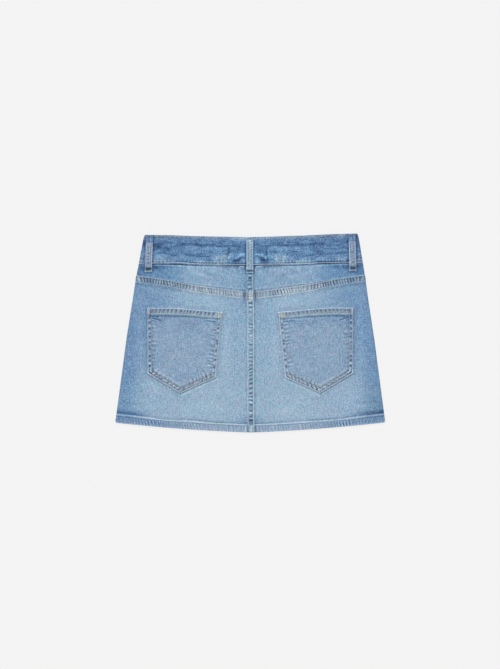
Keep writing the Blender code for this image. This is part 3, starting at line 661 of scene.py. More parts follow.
def mark_field(x, y, table):
    """Fade, greyness and tint of marks that each lie in their own place."""
    tone, grey, tint = np.zeros_like(x), np.zeros_like(x), np.zeros_like(x)
    for p in table:
        near = (np.abs(x - p.x) < 2.6 * p.rx) & (np.abs(y - p.y) < 2.6 * p.ry)
        if not near.any():
            continue
        amount = np.exp(-(((x[near] - p.x) / p.rx) ** 2) - (((y[near] - p.y) / p.ry) ** 2))
        tone[near] += p.tone * amount
        grey[near] += p.grey * amount
        tint[near] += p.tint * amount
    return tone, grey, tint


def pocket_edges(x, y):
    """Distance inside each edge of the pocket on that side, and the place along it:
    top, inner, low inner, low outer, outer."""
    ax = np.abs(x)
    corners = [POCKET_OUTER_TOP, POCKET_INNER_TOP, POCKET_INNER_LOW, POCKET_POINT, POCKET_OUTER_LOW, POCKET_OUTER_TOP]
    out = []
    for k, (a, b) in enumerate(zip(corners[:-1], corners[1:])):
        length = math.hypot(b[0] - a[0], b[1] - a[1])
        ex, ey = (b[0] - a[0]) / length, (b[1] - a[1]) / length
        # the corners run round with the inside on their left
        inside, along = (ax - a[0]) * -ey + (y - a[1]) * ex, (ax - a[0]) * ex + (y - a[1]) * ey
        if k == 0:
            inside = inside + POCKET_BOW * np.sin(np.pi * np.clip(1 - along / length, 0, 1) ** 1.5)
        out.append((inside, along, length))
    return out


def outside_loops(x, y, face):
    """Distance outside the nearest belt loop of a face; below zero under one."""
    best = np.full(np.broadcast(x, y).shape, 99.0)
    for loop in LOOPS:
        if loop.face != face:
            continue
        top = row_y(TOP, loop.x_top) - 1.0
        share = np.clip((top - y) / (top - loop.y_low), 0, 1)
        beside = np.abs(x - loop.x_top - (loop.x_low - loop.x_top) * share) - LOOP_WIDTH / 2
        below = loop.y_low - y
        outside = np.where(
            (beside > 0) & (below > 0), np.hypot(beside, below), np.maximum(beside, below)
        )
        best = np.minimum(best, outside)
    return best


HEM_ROW = [
    (-217, 2.8), (-192, 2.8), (-170, 2.1), (-144, 0.7), (-119, 2.2), (-93, 2.7), (-68, 1.2), (-42, 1.4), (-17, 1.4),
    (21, 1.2), (51, 1.2), (85, 1.5), (119, 1.5), (153, 0.7), (187, 2.8), (213, 2.8),
]


def hem_row(x):
    """How far above the end of the hem its stitching runs: it wanders."""
    at, up = np.array(HEM_ROW, float).T
    return (np.interp(x - 5, at, up) + np.interp(x, at, up) + np.interp(x + 5, at, up)) / 3


def back_body(x, y, along):
    """Relief, fade, greyness and tint of the back's yoke, panels and hem."""
    ax = np.abs(x)
    level = y - read(ROWS, "y_mid", along, "skew") * x
    height, tone = crease_field(x, level, BODY_CREASES)
    height = height + 0.10 * cloud(x, y, 23, 11) + 0.05 * cloud(x, y, 9, 12)

    # panels: pale in the middle, the pale part wider lower down, bluer along the seam
    low = smooth((60 - level) / 170)
    start, end = 86 + 74 * low, 188 + 34 * low
    panel = 0.775 - 0.255 * smooth((ax - start) / (end - start)) - 0.04 * smooth((ax - 186) / 14)
    panel -= (1 - smooth((ax - 22) / 36)) * (0.025 + 0.035 * smooth((level + 110) / 60) + 0.045 * smooth((level + 20) / 50))
    # yoke: pale between the loops, blue under the side loops
    yoke = 0.64 + 0.05 * bell(ax - 74, 30) - 0.215 * smooth((ax - 98) / 44) - 0.10 * smooth((ax - 176) / 14)
    above = smooth((along - YOKE) / 8 + 0.5)
    wash = panel * (1 - above) + yoke * above
    wash += patch_field(x, level, BODY_FADES_AND_SHADE)
    wash += 0.022 * cloud(x, y, 14, 21) + 0.020 * cloud(x, y, 6, 22)
    wash += above * (0.030 * cloud(x, y, 9, 24) + 0.030 * cloud(x, y, 4.5, 25))
    shade_and_marks = tone + 0.014 * cloud(x, y, 3.4, 27)

    # the ditch beside each lap: painted shade in it, and painted highlight on the cloth that rises next to it
    over_yoke = along - YOKE
    half = FELL_WIDTH / 2
    far = smooth((ax - 100) / 40)
    shade_and_marks += lines(over_yoke, (-half - 1.8, 1.3, -0.08), (half + 0.8, 0.9, 0.10), (half + 2.0, 1.2, -0.20), (half + 4.4, 1.8, 0.10))
    shade_and_marks += far * lines(over_yoke, (-half - 1.8, 1.3, -0.10), (half + 0.5, 0.9, 0.08), (half + 1.9, 1.2, 0.04), (half + 4.0, 1.6, 0.06))
    along_lap = smooth((ax - 56) / 8) * (1 - smooth((ax - 150) / 10))
    shade_and_marks += -0.04 * along_lap * bell(over_yoke - 8.2, 1.2) + 0.06 * smooth((ax - 150) / 10) * bell(over_yoke - 10.2, 1.4)
    height -= 0.10 * bell(np.abs(over_yoke) - half - 0.3, 1.6)
    v = x - centre_seam(along)
    # painted shade beside the centre lap, in dashes on its right, and deep on both sides of the knot where the laps
    # meet
    dashes = 0.8 + 0.5 * wander(along, 4.0, 23)
    half = CENTRE_FELL_WIDTH / 2
    beside_knot = bell(over_yoke - 0.5, 7.0)
    shade_and_marks += (1 - beside_knot) * lines(v, (-half - 0.5, 1.1, -0.08), (-half - 2.4, 1.3, -0.03)) - 0.23 * dashes * (1 - beside_knot) * bell(v - half - 1.4, 1.2)
    shade_and_marks += beside_knot * lines(v, (-8.6, 1.8, -0.44), (-11.8, 1.8, -0.16), (7.9, 1.7, -0.76), (10.8, 1.8, -0.06))

    # the slit under the waistband, painted dark as shade, and the crest that the seam throws up below it, painted paler
    # as highlight away from the loops
    up = along - WAIST
    at_loops = 1 - smooth((ax - 40) / 22)
    between = smooth((ax - 42) / 20) * (1 - smooth((ax - 104) / 14))
    outer = smooth((ax - 104) / 14)
    shade_and_marks += at_loops * lines(up, (-0.3, 1.3, -0.46), (-2.2, 1.5, -0.24), (-4.2, 1.4, -0.07))
    shade_and_marks += between * lines(up, (-0.9, 1.3, -0.50), (-3.2, 1.2, 0.08), (-4.2, 1.1, 0.10))
    shade_and_marks += outer * lines(up, (-0.1, 1.3, -0.38), (-2.8, 1.3, 0.24), (-4.6, 1.2, 0.04), (-6.2, 1.2, -0.06))
    wash -= outer * 0.10 * bell(up + 0.3, 1.3)
    shade_and_marks += 0.10 * cloud(x, y / 4, 2.3, 26) * bell(up + 7, 9)
    shade_and_marks += above * 0.05 * (0.4 + 0.6 * far) * cloud(x, y / 1.6, 2.4, 29)
    at_side = smooth((ax - 179) / 2)
    shade_and_marks += at_side * lines(up, (-4, 3.5, -0.05))
    height += 0.24 * bell(up + 2.9, 1.4) - 0.15 * bell(up, 1.4)

    # cloth just round the pockets and the loops: painted shadow just outside the pockets' edges and round the lower
    # part of the loops
    edges = pocket_edges(x, y - POCKET_SKEW * x)
    inside = np.stack([d for d, _, _ in edges])
    outside = -inside.min(axis=0)
    nearest = inside.argmin(axis=0)
    at_top, at_low, at_point = nearest == 0, (nearest == 2) | (nearest == 3), nearest == 3
    at_in = nearest == 1
    at_low_in = at_low & ~at_point
    shade_and_marks -= (0.20 - 0.15 * at_top - 0.08 * at_in + 0.18 * at_point + 0.08 * at_low_in) * bell(np.maximum(outside, 0) - 1.3, 1.2) * (outside > -2)
    shade_and_marks -= (0.05 + 0.07 * at_point) * bell(outside - 4.6, 2.8) + 0.12 * at_low * bell(outside - 0.9, 0.7)
    # a paler rim of cloth round the point and above the top
    shade_and_marks += at_point * lines(outside, (3.8, 1.2, 0.13), (0.2, 0.8, 0.22)) + 0.16 * at_low_in * bell(outside - 3.5, 1.9)
    shade_and_marks += 0.11 * at_top * smooth((ax - 96) / 30) * bell(outside - 0.8, 1.4)
    under_loop = np.maximum(outside_loops(x, y, 1), 0)
    at_centre = ax < 60
    shade_and_marks -= 0.15 * bell(under_loop - 1.5, 1.2) + 0.26 * at_centre * bell(under_loop - 1.2, 0.9)
    wash -= 0.07 * bell(under_loop - 1.5, 1.5)

    # above the hem stitching the cloth dips over the end of the turning; the dip is painted darker as shade, and so are
    # the slit at the hem and the side fold
    over_hem = along - HEM
    row = hem_row(x)
    corner = smooth((ax - 150) / 50)
    height += 0.12 * bell(over_hem - row + 1.2, 1.2) - 0.16 * bell(over_hem - row, 0.8) - 0.22 * bell(over_hem - row - 2.8, 1.8)
    mid = smooth((ax - 90) / 20) * (1 - smooth((ax - 150) / 20))
    shade_and_marks += (0.27 - 0.09 * corner - 0.09 * mid) * bell(over_hem - row, 1.2)
    shade_and_marks -= (0.19 + 0.12 * wander(x, 19, 28)) * bell(over_hem - row - 2.5, 1.1)
    wash -= (0.17 * corner + 0.06) * bell(over_hem - row - 4.6, 2.4) + 0.05 * corner * bell(over_hem - 10.5, 3.0)
    shade_and_marks -= (0.10 - 0.06 * mid) * bell(over_hem, 0.9) + 0.10 * bell(half_width(along) - ax, 2.0)

    grey = 0.05 + 0.22 * smooth((30 - level) / 160) * (1 - smooth((ax - 120) / 90)) - 0.12 * above
    grey = grey + 0.10 * cloud(x, y, 17, 31) + 0.7 * bell(over_yoke - FELL_WIDTH / 2 - 1.8, 1.4) + 1.0 * at_side * bell(up + 4, 4) + 0.4 * at_low_in * bell(outside - 2.0, 2.0)
    grey = grey + 0.7 * along_lap * bell(over_yoke - 8.2, 1.3) - 0.5 * at_loops * bell(up + 1.5, 2.0) + 0.7 * at_point * bell(outside - 1.2, 1.2)
    pale = (1 - above) * (1 - 0.6 * smooth((ax - 90) / 40))
    corner_low = smooth((ax - 176) / 20) * smooth((-70 - level) / 40)
    grey = grey + 0.10 * pale + corner_low * np.where(x > 0, 0.40, 0.15) + 0.15 * above * bell(x - 74, 30)
    shade_and_marks += 0.003 * pale - 0.015 * corner_low * (x > 0) - 0.012 * above * bell(x - 74, 30)
    wash += 0.03 * corner_low * (x < 0) - 0.018 * above * bell(x - 74, 30)
    tint = -above * (smooth((ax - 98) / 44) + 1.0 * bell(v, 15)) + 0.35 * cloud(x, y, 11, 32) - 0.32 * pale
    tint = tint - 0.5 * smooth((ax - 185) / 25) * smooth((-60 - level) / 60) - 1.5 * outer * bell(up, 2.0)
    return looks(height, wash, grey, tint, shade_and_marks)


def hem_field(x, y, along):
    ax = np.abs(x)
    height = 0.10 * cloud(x, y, 23, 11) + 0.05 * cloud(x, y, 9, 12)
    u = x + 1.4 * wander(x, 11, 41)
    slant = (along - EDGE) * 0.28
    rope = puckers(u + slant, 5.1, 42, 0.42)
    fine = puckers(u - slant * 0.6, 3.0, 43, 0.4)
    inside = smooth((HEM - along) / 2.0) * smooth((along - EDGE) / 1.6)
    height = height + (0.21 * rope + 0.06 * fine) * inside
    wash = 0.735 - 0.215 * smooth((ax - 80) / 100) - 0.04 * smooth((ax - 205) / 20) + 0.03 * cloud(x, y, 12, 44)
    mid = smooth((ax - 90) / 20) * (1 - smooth((ax - 150) / 20))
    corner = smooth((ax - 145) / 20)
    # the rope's puckers painted darker in their troughs and paler on their crests: painted shade and highlight
    shade_and_marks = (0.15 + 0.10 * mid + 0.08 * corner) * (rope + 0.65 * fine) * inside * (0.8 + 0.5 * wander(x, 23, 47))
    up = along - EDGE
    shade_and_marks += lines(up, (0.8, 1.2, 0.03 + 0.18 * corner), (6.2, 3.2, -0.05 - 0.03 * mid - 0.03 * corner))
    # painted shade in the slit above the hem and beside the ends of the centre lap
    shade_and_marks -= (0.14 - 0.10 * mid - 0.04 * corner) * bell(HEM - along - 0.4, 1.2)
    v = x - centre_seam(along)
    shade_and_marks += lines(v, (-6.4, 0.9, -0.44), (7.4, 1.5, -0.46), (-8.4, 1.4, 0.28))
    grey = 0.40 - 0.20 * smooth((ax - 100) / 100) + 0.1 * cloud(x, y, 15, 45) + 0.5 * corner * bell(up - 2.6, 1.6)
    return looks(height, wash, grey, 0.25 + 0.5 * cloud(x, y, 7, 46), shade_and_marks)


def waist_row(x):
    """How far above the waist seam its stitching runs."""
    return 1.95 + 1.6 * bell(x + 120, 22)


def back_band(x, y, along):
    ax = np.abs(x)
    height, tone = crease_field(x, y, BAND_CREASES)
    mark_tone, mark_grey, mark_tint = mark_field(x, y, BAND_MARKS)
    height = 0.8 * height + 0.08 * cloud(x / 2.2, y, 4.6, 51) + 0.05 * cloud(x, y, 3.1, 52)
    wash = 0.365 + 0.02 * smooth((150 - y) / 26) + 0.62 * mark_tone + 0.03 * cloud(x, y, 12, 55)
    # the creases' painted shade and highlight, the marks, and short streaks that run along the band
    shade_and_marks = 0.62 * tone + 0.40 * mark_tone + 0.055 * cloud(x / 3.4, y, 3.0, 53) + 0.060 * cloud(x / 1.7, y, 2.2, 54) + 0.03 * cloud(x / 2.6, y, 5.0, 59)
    up = along - WAIST
    row = waist_row(x)
    at_loops = 1 - smooth((ax - 40) / 22)
    between = smooth((ax - 42) / 20) * (1 - smooth((ax - 104) / 14))
    outer = smooth((ax - 104) / 14)
    # painted shade in the slit of the waist seam and in the groove above its stitching
    shade_and_marks += at_loops * lines(up, (0.0, 1.0, -0.40), (row, 1.0, 0.24), (row + 1.9, 1.0, -0.20))
    shade_and_marks += between * lines(up, (-0.4, 1.0, -0.30), (row - 0.6, 1.0, 0.34), (row + 1.9, 0.9, -0.20), (6.0, 1.8, 0.07))
    shade_and_marks += outer * lines(up, (0.1, 1.2, -0.52), (row, 1.0, 0.22), (row + 1.9, 0.9, -0.20))
    at_side = smooth((ax - 179) / 2)
    shade_and_marks += at_side * lines(up, (1.0, 1.2, 0.24), (3.0, 1.0, -0.12), (5.2, 1.4, 0.14))
    # paler and greyer above the stitching, darker higher up
    shade_and_marks += 0.14 * bell(up - 5.6, 1.8) + (0.05 - 0.10 * at_loops + 0.01 * between) * bell(up - 11.0, 4.0) + 0.05 * at_loops * bell(up - 18, 4)
    shade_and_marks -= (0.06 * between + 0.05 * outer) * bell(up - 35, 5) + 0.07 * at_loops * bell(up - 3.2, 1.0)
    wash -= 0.02 * smooth((x - 60) / 20) * bell(up - 42, 7) + 0.06 * outer * bell(up - 0.2, 1.5)
    shade_and_marks += 0.12 * outer * bell(up - 0.2, 1.5)
    # the sides' end of the seam
    shade_and_marks += at_side * (lines(up, (0.0, 1.6, 0.12), (3.0, 1.0, -0.10), (5.0, 1.0, 0.06), (10.0, 3.6, -0.11)))
    # the slit's painted shade is deepest to either side of the pockets' middles
    shade_and_marks -= 0.16 * (bell(x + 114, 13) + bell(x - 124, 14)) * bell(up - 0.2, 1.2)
    tug = puckers(x, 5.6, 57)
    height += 0.10 * tug * bell(up - 2.2, 2.6) - 0.22 * bell(up - row, 0.9) - 0.12 * bell(up - row - 2.0, 0.8)
    # painted shade in the troughs of the puckers above the stitching
    shade_and_marks += 0.16 * spiked(tug) * bell(up - 5.5, 4.0) * (0.6 + 0.6 * wander(x, 21, 60))
    top = TOP - along
    shade_and_marks += lines(top, (0.2, 1.0, 0.05), (2.0, 1.6, 0.14)) + at_loops * 0.09 * bell(top - 2.6, 2.2) - outer * 0.05 * bell(top - 3.4, 2.4)
    # painted shadow round the belt loops
    ditch = np.maximum(outside_loops(x, y, 1), 0)
    near_top = smooth((y - 150) / 8)
    near_low = smooth((130 - y) / 6)
    dark = np.where(ax > 100, 0.24 + 0.16 * near_low + 0.10 * near_top, 0.40 - 0.30 * near_top * (x < 0) - 0.10 * near_top)
    beside_centre = (ax < 60) * near_top * (x < 0)
    dark = dark * np.where(ax > 100, 1 - 0.30 * near_top, np.where(x > 0, 0.66, 1.0))
    shade_and_marks -= 0.34 * dark * bell(ditch - 1.2, 1.4)
    wash -= 0.26 * dark * bell(ditch - 1.3, 1.6)
    shade_and_marks += 0.11 * beside_centre * bell(ditch - 2.4, 2.4)
    height -= 0.12 * bell(ditch, 1.8)
    grey = -0.05 + mark_grey + 0.9 * bell(top - 1.6, 2.2) + 0.6 * at_side * bell(up - 10, 8)
    grey += (0.75 + 0.25 * between) * bell(up - 4.4, 2.6) + 0.5 * between * bell(up - 2.4, 1.2) + 0.3 * outer * bell(up - 9, 3)
    grey += (0.5 * at_loops + 0.7 * between + 1.3 * outer) * bell(top - 3.0, 3.0)
    tint = -0.55 + mark_tint + 0.5 * cloud(x / 1.5, y, 6.0, 58) + (0.9 * (ax > 60) + 1.2 * at_loops) * bell(top - 1.6, 2.2) - 1.5 * outer * bell(up, 2.0)
    # painted shade where the band turns under at the sides
    shade_and_marks -= 0.12 * bell(half_width(along) - ax, 2.2)
    # the cloth round the centre loop is hardly rubbed: a clear blue; the troughs, which
    # carry the creases' painted shade, are made a clear blue too
    clear = bell(x, 34) * bell(y - 137, 15)
    trough = np.clip(-0.62 * tone - 0.3 * mark_tone, 0, 0.4)
    grey -= (0.25 + 0.15 * (x > 0)) * clear + 1.6 * trough + (0.5 * at_loops + 0.8 * outer) * bell(up - 0.6, 1.6)
    tint -= (1.3 - 0.2 * (x > 0)) * clear + 2.4 * trough
    shade_and_marks += (0.045 * (x > 0) + 0.01) * clear + 0.05 * trough - 0.08 * between * bell(up - 8.0, 1.8)
    left_mid = bell(ax - 118, 26) * bell(y - 145, 6)
    wash -= 0.04 * left_mid
    grey -= 0.15 * left_mid
    left_top = bell(x + 118, 30) * bell(y - 157, 5)
    shade_and_marks += 0.03 * left_top
    grey -= 0.10 * left_top
    return looks(height, wash, grey, tint, shade_and_marks, 0.65, 0.95)


def front_body(x, y, along):
    ax = np.abs(x)
    level = y - read(ROWS, "y_mid", along, "skew") * x
    height, tone = crease_field(x, level, FRONT_CREASES)
    # the surface that it lies on keeps this face flat
    rests = smooth((62 - along) / 10)
    height = np.minimum(height * (1 - rests) - 0.02, 0.0) * (1 - rests)
    wash = 0.76 - 0.24 * smooth((ax - 110) / 90)
    wash += 0.03 * cloud(x, y, 16, 61) + 0.02 * cloud(x, y, 6, 62)
    below_band = WAIST - along
    # painted shade in the slit under the band and painted highlight on the crest below it
    shade_and_marks = tone - 0.55 * bell(below_band, 1.2) - 0.08 * bell(below_band - 4.2, 1.2)
    shade_and_marks += 0.16 * bell(below_band - 2.4, 1.0) * (1 - smooth((ax - 116) / 30))
    # whiskers that fan out from the fly
    for k, (rise, x_far) in enumerate(((0.10, 150), (-0.06, 165), (-0.22, 160), (-0.40, 140))):
        line = 74 - 13 * k + rise * (ax - 30)
        wash += (0.05 - 0.006 * k) * bell(level - line, 3.0 + 0.6 * k) * smooth((ax - 26) / 20) * (1 - smooth((ax - x_far + 40) / 50))
    # painted shade along the centre front seam
    shade_and_marks -= 0.30 * bell(x - lean(along), 1.3)
    # painted shade at the hem's slit and round the front loops
    over_hem = along - HEM
    shade_and_marks += 0.18 * bell(over_hem - 2.0, 1.1) - 0.16 * bell(over_hem - 4.5, 1.1) - 0.22 * bell(over_hem, 0.9)
    shade_and_marks -= 0.34 * bell(np.maximum(outside_loops(x, y, -1), 0) - 0.6, 1.5)
    grey = 0.10 + 0.10 * cloud(x, y, 17, 63)
    return looks(height, wash, grey, 0.35 * cloud(x, y, 11, 64), shade_and_marks)


def front_hem(x, y, along):
    ax = np.abs(x)
    u = x + 1.4 * wander(x, 11, 71)
    slant = (along - EDGE) * 0.28
    rope = puckers(u + slant, 5.1, 72, 0.42)
    fine = puckers(u - slant * 0.6, 3.0, 74, 0.4)
    inside = smooth((HEM - along) / 2.0) * smooth((along - EDGE) / 1.6)
    height = -0.10 * (1 - rope) * inside
    wash = 0.735 - 0.165 * smooth((ax - 90) / 110)
    # the rope's puckers painted darker in their troughs, and painted shade at the lower edge and in the slit
    shade_and_marks = (0.15 * rope + 0.09 * fine) * inside - 0.14 * bell(along - EDGE, 1.3) - 0.24 * bell(HEM - along - 0.4, 1.2)
    return looks(height, wash, 0.40 + 0.1 * cloud(x, y, 15, 73), 0.2 + 0.5 * cloud(x, y, 7, 75), shade_and_marks)


def front_band(x, y, along):
    ax = np.abs(x)
    height, tone = crease_field(x, y, FRONT_BAND_CREASES)
    up = along - WAIST
    # the surface under it keeps this face from swelling
    height = np.minimum(height, 0.06) - 0.05 * cloud(x / 2.2, y, 5.0, 81) - 0.18 * bell(up - 2.0, 0.9)
    wash = 0.40 + 0.03 * cloud(x, y, 10, 83) + 0.08 * bell(ax - 92, 30)
    shade_and_marks = tone + 0.05 * cloud(x / 3.4, y, 3.0, 82) + 0.05 * cloud(x / 1.7, y, 2.2, 84)
    # painted shade at the top edge, in the seam's slit and round the front loops, and painted shade and highlight for
    # puckers that have no relief
    shade_and_marks += 0.20 * bell(up - 2.0, 1.1) - 0.22 * bell(TOP - along, 1.3) - 0.55 * bell(up, 1.2) - 0.14 * bell(up - 3.9, 0.9)
    shade_and_marks += 0.10 * puckers(x, 5.6, 85) * bell(up - 5.5, 4.0)
    shade_and_marks -= 0.34 * bell(np.maximum(outside_loops(x, y, -1), 0) - 0.7, 1.6)
    return looks(height, wash, 0.4 * bell(TOP - along - 0.3, 1.4), -0.35 + 0.5 * cloud(x / 1.5, y, 6.0, 86), shade_and_marks)


# ================================================================ meshes
made = {}
CLOTH = {}


def new_object(name, verts, faces, materials, smooth_angle=50):
    mesh = bpy.data.meshes.new(name)
    faces = np.asarray(faces, np.int32)
    corners = faces.shape[1]
    mesh.vertices.add(len(verts))
    mesh.vertices.foreach_set("co", (np.asarray(verts, np.float64) * 0.001).astype(np.float32).ravel())
    mesh.loops.add(faces.size)
    mesh.loops.foreach_set("vertex_index", faces.ravel())
    mesh.polygons.add(len(faces))
    mesh.polygons.foreach_set("loop_start", np.arange(len(faces), dtype=np.int32) * corners)
    mesh.update(calc_edges=True)
    mesh.validate()
    mesh.shade_smooth()
    if smooth_angle:
        mesh.set_sharp_from_angle(angle=math.radians(smooth_angle))
    for m in materials:
        mesh.materials.append(m)
    made_object = bpy.data.objects.new(name, mesh)
    bpy.context.scene.collection.objects.link(made_object)
    made[name] = made_object
    return made_object


def set_attribute(mesh, name, values):
    values = np.asarray(values, np.float32)
    if values.ndim == 1:
        mesh.attributes.new(name, "FLOAT", "POINT").data.foreach_set("value", values)
    else:
        mesh.attributes.new(name, "FLOAT_VECTOR", "POINT").data.foreach_set("vector", values.ravel())


def volume(verts, faces):
    v = np.asarray(verts)
    total = 0.0
    for k in range(1, faces.shape[1] - 1):
        a, b, c = v[faces[:, 0]], v[faces[:, k]], v[faces[:, k + 1]]
        total += (a * np.cross(b, c)).sum() / 6
    return total


def shell(name, outer, inner, look, weave, materials, inside=0.86, smooth_angle=50):
    """A closed thin piece between two grids of points of the same size."""
    m, n = outer.shape[:2]
    verts = np.concatenate([outer.reshape(-1, 3), inner.reshape(-1, 3)])
    ids = np.arange(m * n).reshape(m, n)

    def quads(grid):
        return np.stack([grid[:-1, :-1], grid[1:, :-1], grid[1:, 1:], grid[:-1, 1:]], axis=-1).reshape(-1, 4)

    top, bottom = quads(ids), quads(ids + m * n)[:, ::-1]
    ring = np.concatenate([ids[:, 0], ids[-1, 1:], ids[-2::-1, -1], ids[0, -2:0:-1]])
    after = np.roll(ring, -1)
    rim = np.stack([after, ring, ring + m * n, after + m * n], axis=-1)
    faces = np.concatenate([top, bottom, rim])
    if volume(verts, faces) < 0:
        faces = faces[:, ::-1]
    ob = new_object(name, verts, faces, materials, smooth_angle)
    mesh = ob.data
    wash_in = np.full(m * n, inside) + 0.02 * cloud(weave[..., 0].ravel(), weave[..., 1].ravel(), 8, 91)
    set_attribute(mesh, "wash", np.concatenate([look.wash.ravel(), wash_in]))
    set_attribute(mesh, "grey", np.concatenate([look.grey.ravel(), np.full(m * n, 0.55)]))
    set_attribute(mesh, "tint", np.concatenate([look.tint.ravel(), np.zeros(m * n)]))
    # the light attribute is a factor on the colour: painted shade and highlight on the outer face, none on the inner
    set_attribute(mesh, "light", np.concatenate([np.exp(np.clip(look.light, -1.5, 0.55)).ravel(), np.ones(m * n)]))
    flat = np.concatenate([weave.reshape(-1, 2), weave.reshape(-1, 2) + [311.0, 57.0]]) * 0.001
    set_attribute(mesh, "weave", np.column_stack([flat, np.zeros(len(flat))]))
    bake_map(mesh, m, n, outer, ring)
    CLOTH[name] = float(area_of(outer))
    return ob


def area_of(grid):
    a = np.cross(grid[1:, :-1] - grid[:-1, :-1], grid[:-1, 1:] - grid[:-1, :-1])
    b = np.cross(grid[1:, :-1] - grid[1:, 1:], grid[:-1, 1:] - grid[1:, 1:])
    return (np.linalg.norm(a, axis=-1).sum() + np.linalg.norm(b, axis=-1).sum()) / 2


def bake_map(mesh, m, n, outer, ring):
    """A flat map: the outer face in one half, the inner one in the other, the rim in
    four thin strips beside them."""
    du = np.linalg.norm(np.diff(outer, axis=0), axis=-1).mean(axis=1)
    dv = np.linalg.norm(np.diff(outer, axis=1), axis=-1).mean(axis=0)
    u = np.concatenate([[0], np.cumsum(du)])
    v = np.concatenate([[0], np.cumsum(dv)])
    u, v = u / u[-1], v / v[-1]
    wide = du.sum() >= dv.sum()
    U, V = np.meshgrid(u, v, indexing="ij")
    if wide:
        top = np.stack([0.01 + 0.98 * U, 0.02 + 0.44 * V], -1)
        low = np.stack([0.01 + 0.98 * U, 0.50 + 0.44 * V], -1)
    else:
        top = np.stack([0.02 + 0.44 * U, 0.01 + 0.98 * V], -1)
        low = np.stack([0.50 + 0.44 * U, 0.01 + 0.98 * V], -1)
    at = np.concatenate([top.reshape(-1, 2), low.reshape(-1, 2)])
    mesh.calc_loop_triangles()
    loops = np.zeros(len(mesh.loops), np.int32)
    mesh.loops.foreach_get("vertex_index", loops)
    uv = at[loops]
    # rim faces hold vertices of both grids
    quads = loops.reshape(-1, 4)
    rim = (quads < m * n).any(axis=1) & (quads >= m * n).any(axis=1)
    around = np.zeros(2 * m * n)
    position = np.arange(len(ring)) / len(ring)
    around[ring] = position
    around[ring + m * n] = position
    rim_quads = quads[rim]
    run = around[rim_quads]
    jump = run.max(axis=1) - run.min(axis=1) > 0.5
    run[jump] = np.where(run[jump] < 0.5, run[jump] + 1, run[jump])
    side = (rim_quads >= m * n).astype(float)
    lane = np.minimum((run.min(axis=1) * 4).astype(int), 3)[:, None]
    along = np.clip((run * 4 - lane), 0, 1.02)
    strip = np.stack([0.01 + 0.96 * along, 0.952 + 0.011 * lane + 0.007 * side], -1)
    if not wide:
        strip = strip[..., ::-1]
    uv = uv.reshape(-1, 4, 2)
    uv[rim] = strip
    layer = mesh.uv_layers.new(name="OFBake")
    layer.data.foreach_set("uv", uv.astype(np.float32).ravel())


def rounding(places, end, radius):
    """How far a rounded edge draws each face in, close to the end of a piece."""
    reach = np.clip(1 - np.abs(end - places) / radius, 0, 0.999)
    return radius * (1 - np.sqrt(1 - reach * reach))


def wall(name, face, levels, across, along, thick, field, materials, low=None, high=None, lap_low=0.0, raised=None, crosswise=False, inside=0.86):
    A, L = np.meshgrid(across, along, indexing="ij")
    base = place(levels, face, A, L, 0.0)
    look = field(base[..., 0], base[..., 1], L)
    height = look.height
    draw = np.zeros_like(L)
    if low is not None:
        draw = draw + rounding(L, low, thick / 2)
    if high is not None:
        draw = draw + rounding(L, high, thick / 2)
    lap = lap_low * (1 - np.sqrt(1 - np.clip(1 - (L - along[0]) / max(lap_low, 0.1), 0, 0.98) ** 2)) if lap_low else 0.0
    outer = place(levels, face, A, L, height - draw - lap)
    inner = place(levels, face, A, L, height - thick + draw)
    if raised is not None:
        outer[..., 2] += raised(A, base[..., 0])
        inner[..., 2] += raised(A, base[..., 0])
    weave = np.stack([arc(levels, A, L), L], -1)
    if crosswise:
        weave = weave[..., ::-1]
    return shell(name, outer, inner, look, weave, materials, inside)


def round_places(end, radius, sign):
    """Extra rows that follow a rounded edge; sign is the way out of the piece."""
    return np.array([end - sign * radius * s for s in (1.0, 0.78, 0.58, 0.40, 0.25, 0.13, 0.05, 0.0)])


def half_columns(side, coarse, first=None):
    """Columns of one half: fine beside the centre line, then even, then the fold."""
    flat = graded(0.0, 203.0, coarse, min(coarse, 0.8), 9.0, 3.0) / 203.0
    if first is not None:
        flat = np.concatenate([[first], flat[flat > first + 0.002]])
    fold = 1 + np.arange(1, 9) / 8
    return side * np.concatenate([flat, fold])


def both_columns(coarse):
    right = half_columns(1, coarse)
    return np.concatenate([-right[:0:-1], right])


# ================================================================ materials
def rgb(r, g, b):
    """A colour given as it looks on screen, 0 to 255, as the shader's own numbers."""
    out = []
    for c in (r, g, b):
        c /= 255
        out.append(c / 12.92 if c <= 0.04045 else ((c + 0.055) / 1.055) ** 2.4)
    return (*out, 1.0)


